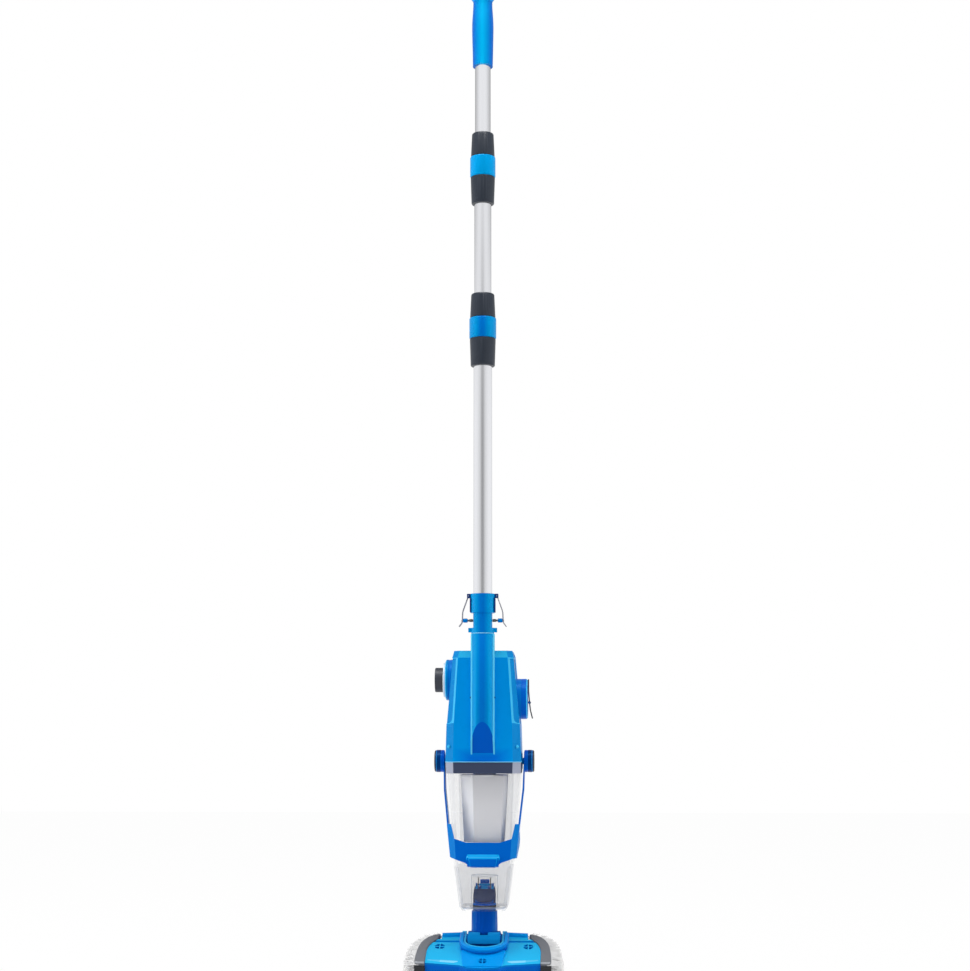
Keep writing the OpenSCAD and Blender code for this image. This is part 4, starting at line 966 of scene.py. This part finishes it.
def make_duct_details():
    """What shows in the clear inlet duct: two rods, a web to each side, and pale strips at the duct's edges that are
    painted highlights.
    """
    rod = lathe([(0.0, -432.6), (0.75, -432.6), (0.75, -417.5), (1.3, -416.8), (0.0, -416.2)],
                centre=(9.0, 50.0, 0.0), steps=16)
    piece("duct_rods", mirrored(rod), pin_steel, "housing")
    web = block((19.2, 49.0, -461.0), (34.0, 50.4, -431.0))
    tint(web, lambda n, at: abs(n.y) < 0.5)
    piece("duct_webs", mirrored(web), [clear_duct, clear_highlight_line], "housing", bevel=0.3)
    rim = lathe(ringed(18.8, 19.7, -413.9, -413.0), centre=(0.0, BODY_Y, 0.0), steps=64)
    edges = mirrored(block((19.1, 51.5, -462.0), (19.9, 52.5, -413.4)))
    piece("duct_highlight_strips", joined(rim, edges), clear_highlight_line, "housing")


def make_bail():
    """The locking bail: hoop, cheeks, thumb tab, hubs and their caps."""
    # painted highlight on the hoop's low top faces, painted light on its side faces
    softened("bail_hoop", "bail", [deep_blue, highlight_blue, socket_blue], 0.6, segments=3, tints=[
        lambda n, at: at.z < -330.0 and n.z > 0.6,
        lambda n, at: at.z < -290.0 and abs(n.x) > 0.45 and n.y < 0.5 and abs(at.x) > 40.0])
    cheek = tower([[(53.6 - lean, 25.0 + back, z), (57.4 - lean + out, 41.0, z), (57.4 - lean + out, 46.0, z),
                    (53.6 - lean, 47.0, z)] for z, lean, out, back in CHEEK_LEVELS])
    piece("bail_cheeks", mirrored(cheek), side_light_shade_blue, "bail_frame", bevel=0.6)
    tab = tower([[(-root, BAND_FRONT + 0.6, BAND_LOW + rise), (-face, BAND_FRONT - out, BAND_LOW + up),
                  (face, BAND_FRONT - out, BAND_LOW + up), (root, BAND_FRONT + 0.6, BAND_LOW + rise)]
                 for root, rise, face, out, up in TAB_LEVELS])
    # painted light on the tab's top and sides
    tint(tab, lambda n, at: n.z > 0.25 or abs(n.x) > 0.5 and abs(at.x) < 24.5)
    piece("thumb_tab", tab, [deep_blue, ring_blue], "bail_frame", bevel=0.5, segments=3)
    # thin dark sheets beside the tab that stand for the shade there
    front, back = BAND_FRONT - 0.3, BAND_FRONT + 0.3
    shade_sheet = tower([[(25.0 - k, back, z), (33.5 - k, back, z), (33.5 - k, front, z), (25.0 - k, front, z)]
                    for z, k in ((BAND_LOW + 8.6, 0.0), (BAND_LOW + 17.6, 1.6))])
    piece("tab_shadow_sheets", mirrored(shade_sheet), shade_glint_blue, "bail_frame", bevel=0.2)
    hub = lathe([(10.0, 59.7), (14.6, 59.7), (16.4, 61.2), (16.4, 63.4), (15.6, 64.0), (15.6, 64.8), (16.5, 65.4),
                 (16.5, 71.0), (15.2, 72.2), (10.0, 72.2)], "X", (0.0, BODY_Y, BAIL_Z), steps=64)
    # a painted highlight ring on each hub's inner part and on its outer edge
    tint(hub, lambda n, at: abs(at.x) < 63.4, lambda n, at: abs(at.x) > 71.2)
    piece("bail_hubs", mirrored(hub), [navy, shade_glint_blue, highlight_blue], "bail_frame", bevel=0.3)
    cap = lathe([(0.0, 71.8), (15.4, 71.8), (16.0, 72.4), (16.0, 73.2), (14.8, 74.4), (10.8, 74.4), (10.2, 73.7),
                 (8.6, 73.7), (8.0, 74.4), (0.0, 74.4)], "X", (0.0, BODY_Y, BAIL_Z), steps=64)
    piece("hub_caps", mirrored(cap), black, "bail_frame", ("bail_caps",), bevel=0.3)


# ---------- neck and head ----------

HEAD_Z = -509.6
HEAD_TILT = 22.0
FLANGE_Z = -464.7
NECK_FOOT, NECK_R = -500.0, 17.5
FLANGE_SHARE, TUBE_SHARE = 0.96, 0.9
SEAT_LOW, SEAT_TOP, SEAT_FRONT, SEAT_BACK = -453.4, -430.2, 47.0, 59.5
SEAT_SLOPE = (0.0, SEAT_LOW - SEAT_TOP, SEAT_BACK - SEAT_FRONT)
FLAP_PIN_Z = SEAT_TOP + 2.5
FLAP_EDGE = [(15.4, -6.8), (15.9, -10.0), (15.9, -17.0), (15.0, -20.0), (13.6, -22.5), (11.5, -25.0), (8.6, -27.2),
             (5.0, -28.0)]
LUG_ENDS = ((-5.0, 5.0), (-13.4, -10.0), (10.0, 13.4))
CUP_REACH = 23.6


def in_head(bm):
    """Moves a form from the head's own frame, its plate level, to where the head is."""
    bmesh.ops.transform(bm, verts=bm.verts, matrix=Matrix.Translation(mm(0.0, BODY_Y, HEAD_Z))
                        @ Matrix.Rotation(math.radians(HEAD_TILT), 4, "X"))
    return bm


def slimmer_tube(bm):
    """Slims the neck's tube, and its flange a little less."""
    for vert in bm.verts:
        out = Vector((vert.co.x, vert.co.y - BODY_Y * MM, 0.0))
        if NECK_FOOT < vert.co.z / MM < FLANGE_Z + 0.1 and out.length > NECK_R * MM:
            slim = (FLANGE_SHARE if vert.co.z / MM > FLANGE_Z - 1.0 else TUBE_SHARE) * out
            vert.co.x, vert.co.y = slim.x, slim.y + BODY_Y * MM


def on_slope(bm):
    """Hangs a form from the flap's pin, leaning with the seat."""
    lean = math.atan2(SEAT_TOP - SEAT_LOW, SEAT_BACK - SEAT_FRONT) - math.pi / 2
    bmesh.ops.transform(bm, verts=bm.verts, matrix=Matrix.Translation(mm(0.0, SEAT_BACK, FLAP_PIN_Z))
                        @ Matrix.Rotation(lean, 4, "X"))
    return bm


def make_neck():
    """The neck's tube with the flap's slanted seat, the flap and the seal."""
    softened("neck_piece", "neck", neck_blue, 0.5, shaped=slimmer_tube)
    seat = lathe([(0.0, SEAT_LOW - 2.0), (16.7, SEAT_LOW - 2.0), (16.7, SEAT_TOP), (0.0, SEAT_TOP)],
                 centre=(0.0, BODY_Y, 0.0), steps=64)
    cut_off(seat, (0.0, SEAT_FRONT, SEAT_LOW - 0.2), SEAT_SLOPE)
    cut_off(seat, (0.0, SEAT_BACK + 1.6, 0.0), (0.0, 1.0, 0.0))
    facing = Vector(SEAT_SLOPE).normalized()
    tint(seat, lambda n, at: abs(n.dot(facing)) > 0.97 or at.z < SEAT_LOW + 0.5)
    piece("flap_seat", seat, [deep_blue, flap_grey], "neck_tube", bevel=0.3)
    outline = [(x, -0.7, z) for x, z in FLAP_EDGE] + [(-x, -0.7, z) for x, z in reversed(FLAP_EDGE)]
    flap = on_slope(prism(outline, (0.0, 1.5, 0.0)))
    knuckle = lathe(plain_ring(1.15, 1.8, -10.4, 10.4), "X", (0.0, SEAT_BACK, FLAP_PIN_Z), steps=24)
    lugs = on_slope(joined(*[block((left, -1.1, -7.4), (right, 0.9, -1.6)) for left, right in LUG_ENDS]))
    leaf = joined(flap, knuckle, lugs)
    tint(leaf, lambda n, at: at.z > SEAT_TOP - 4.2)
    piece("flap_leaf", leaf, [flap_grey, cup_blue], "flap", ("inlet_flap",), bevel=0.3)
    band = lathe([(16.4, -463.0), (17.25, -462.6), (17.25, -456.4), (16.4, -456.0), (16.4, -463.0)],
                 centre=(0.0, BODY_Y, 0.0), steps=64)
    piece("seal_sleeve", band, rubber, "neck_tube")


def make_cups():
    """The cups round the neck's barrel, and the apron that lines the head's well below them."""
    axle = (0.0, BODY_Y, HEAD_Z)
    low = lathe(plain_ring(21.9, 23.3, -CUP_REACH, CUP_REACH), "X", axle, steps=12, turn=33.0, start=-3.0)
    high = lathe(plain_ring(22.0, 23.4, 5.6, 23.5), "X", axle, steps=8, turn=20.0, start=22.0)
    piece("barrel_cups", joined(low, mirrored(high)), cup_blue, "neck_tube", bevel=0.4, segments=3)
    apron = lathe(plain_ring(23.8, 25.4, -CUP_REACH, CUP_REACH), "X", axle, steps=12, turn=17.0, start=-31.0)
    piece("well_apron", apron, cup_blue, "head", bevel=0.3)


PLATE_EDGE = [(69.2, -7.0), (74.2, 0.0), (77.4, 4.4), (79.9, 10.0), (81.6, 15.8), (82.9, 22.6), (83.7, 32.0),
              (83.7, 64.0)]
BUMPER_EDGE = [(66.0, -21.4), (76.0, -18.6), (84.0, -12.2), (90.0, -3.6), (94.0, 6.0), (96.6, 18.0), (98.0, 32.0),
               (98.8, 44.0), (99.2, 56.0), (98.0, 61.6), (94.6, 64.4)]
BUMPER_FOOT, BUMPER_RISE = -6.5, 7.5
RING_BEND_Y, RING_END_Y = 17.0, 9.0
# the ring's section, from its outer foot round to its bore: half width, reach to the front and height
RING_SECTION = ((34.6, 44.6, -0.6), (34.6, 44.6, 4.6), (36.0, 46.6, 6.2), (36.0, 46.6, 9.0), (34.4, 44.6, 10.8),
                (30.4, 37.4, 10.8), (28.2, 33.6, 9.2), (27.9, 32.6, -0.6))
# along each wing's glint: place across, how far back it slides and its depth
GLINT_LEVELS = ((36.0, 4.6, 2.0), (42.0, 4.0, 5.6), (62.0, 2.0, 5.0), (80.5, 0.2, 2.4))


def ring_plan(half, front, z):
    """The D-shaped ring's outline, from its right end round the front to its left."""
    bend = [(half * math.cos(math.radians(a)), -RING_BEND_Y - (front - RING_BEND_Y) * math.sin(math.radians(a)), z)
            for a in range(0, 181, 9)]
    return [(half, RING_END_Y, z)] + bend + [(-half, RING_END_Y, z)]


def make_head():
    """The head: plate, ring, glints on the wings, bumpers and brushes."""
    turn = Matrix.Rotation(math.radians(-HEAD_TILT), 3, "X")

    def in_own_frame(test):
        """A test on the face's normal and place in the head's own frame."""
        return lambda n, at: test(turn @ n, turn @ (at - Vector((0.0, BODY_Y, HEAD_Z))))

    def well(n, at):
        return abs(n.z) < 0.4 and -0.5 < at.z < 9.5 and abs(at.x) < 34.0 and at.y > -42.0

    def ring_top(n, at):
        return n.z > 0.9 and at.z > 9.0

    def front_edge(n, at):
        return n.y < -0.5 and at.y < -60.0 and n.z < 0.5

    def wing(n, at):
        return n.z > 0.97 and -0.3 < at.z < 0.3 and abs(at.x) > 34.0

    def back_bar(n, at):
        return at.y > 17.5 and n.y < 0.3 and n.z < 0.5

    # painted shade in the well, on the front edges and under the back bars; painted light on the wings; a painted
    # highlight on the ring's top
    softened("head_plate", "head_top", [blue, shade_glint_blue, highlight_blue, socket_blue, plate_painted_light, shade_glint_blue], 0.7, segments=3,
             tints=[in_own_frame(test) for test in (well, ring_top, front_edge, wing, back_bar)])
    make_ring_lip()
    glint = tower([[(x, -54.0 - slide, 0.6), (x, -54.0 - deep - slide, 0.1), (x, -54.0 - deep - slide, -2.0),
                    (x, -54.0 - slide, -2.0)] for x, slide, deep in GLINT_LEVELS])
    # painted highlight on the glints' tops nearer the middle
    tint(glint, lambda n, at: n.z > 0.9 and at.x < 64.0)
    piece("wing_glint_strips", mirrored(in_head(glint)), [wing_painted_glint, pale_highlight], "head", bevel=0.3)
    make_bumpers()
    make_bristles()


def make_ring_lip():
    """The rounded lip of the ring round the head's well."""
    lip = bmesh.new()
    rows = [row_of(lip, ring_plan(*level)) for level in RING_SECTION]
    for first, second in zip(rows, rows[1:] + rows[:1]):
        bmesh.ops.bridge_loops(lip, edges=first + second)
    bmesh.ops.holes_fill(lip, edges=lip.edges, sides=0)
    # painted shade on the ring's wall, deepest at its foot, and painted light on its top
    tint(lip, lambda n, at: at.z > 5.0, lambda n, at: n.z > 0.9)
    piece("ring_lip", in_head(lip), [shade_glint_blue, socket_blue, blue], "head", bevel=0.4)


def make_bumpers():
    """The soft bumpers at the head's sides, their front lips, and the holders of the brushes under them."""
    outline = [(x, -y, BUMPER_FOOT) for x, y in BUMPER_EDGE + PLATE_EDGE[::-1]]
    bumper = prism(outline, (0.0, 0.0, BUMPER_RISE))
    top = [f for f in bumper.faces if f.calc_center_median().z > 0.0]
    bmesh.ops.inset_region(bumper, faces=top, thickness=1.4 * MM, depth=0.5 * MM)
    piece("bumpers", mirrored(in_head(bumper)), bumper_grey, "head", ("side_bumpers",), bevel=0.9, segments=3)
    end = tower([[(84.4, -62.6, z), (98.2, -61.6, z), (97.8, -62.8, z), (94.6, -65.2, z), (84.4, -65.2, z)]
                 for z in (-0.8, 1.5)])
    # the lips in a lighter grey, a painted highlight
    piece("bumper_lips", mirrored(in_head(end)), bumper_lip_highlight, "head", bevel=0.8, segments=3)
    holder = tower([[(80.0, -20.0, z), (94.0 - 0.3 * k, -30.0, z), (101.0 - 0.3 * k, -52.0, z), (99.0, -66.4, z),
                     (84.0, -67.6, z)] for k, z in ((0, -4.6), (8, -15.6))])
    piece("brush_holders", mirrored(in_head(holder)), rubber, "head", bevel=0.6)


TUFT_SPACING = 0.9
TUFT_ROOT_R, TUFT_TIP_R = 0.75, 0.35
TUFT_DROPS = (-3.0, -5.5, -8.0, -10.5)


def make_bristles():
    """Tufts that fan out and down from under each bumper."""
    picker = random.Random(7)
    bm = bmesh.new()
    for (x0, y0), (x1, y1) in zip(BUMPER_EDGE, BUMPER_EDGE[1:]):
        out = Vector((y1 - y0, x1 - x0, 0.0)).normalized()
        count = max(2, round(math.hypot(x1 - x0, y1 - y0) / TUFT_SPACING))
        for k in range(count):
            share = (k + picker.uniform(0.2, 0.8)) / count
            x, y = x0 + (x1 - x0) * share, y0 + (y1 - y0) * share
            way = Vector((abs(out.x) + 0.1, out.y * (1.0 if y < 40 else -0.2), 0.0)).normalized()
            for row, drop in enumerate(TUFT_DROPS):
                length = picker.uniform(17.6, 19.2) - 1.0 * row
                aim = Vector((way.x + picker.uniform(-0.12, 0.12), way.y + picker.uniform(-0.16, 0.16),
                              -0.16 - 0.12 * row + picker.uniform(-0.05, 0.05))).normalized()
                tuft = bmesh.ops.create_cone(bm, cap_ends=True, segments=5, radius1=TUFT_ROOT_R * MM,
                                             radius2=TUFT_TIP_R * MM, depth=length * MM)
                turn = Vector((0.0, 0.0, 1.0)).rotation_difference(aim).to_matrix()
                bmesh.ops.rotate(bm, cent=(0.0, 0.0, 0.0), matrix=turn, verts=tuft["verts"])
                bmesh.ops.translate(bm, verts=tuft["verts"], vec=mm(x - 2.0, -y, drop) + aim * length * MM / 2)
    piece("brushes", mirrored(in_head(bm)), bristle, "head", ("side_bristles",))
    softened("brush_fans", "side_bristles", fan, 0.3)


make_camera()
make_lights()
make_world()
make_floor()
finish_nodes()
make_pole()
make_adapter()
make_clips()
make_front_shell()
softened("rear_shell", "rear_housing", blue, 0.8)
make_ridge()
make_sides()
make_canister()
make_bail()
make_neck()
make_cups()
make_head()

scene = bpy.context.scene
scene.view_settings.view_transform = "Standard"
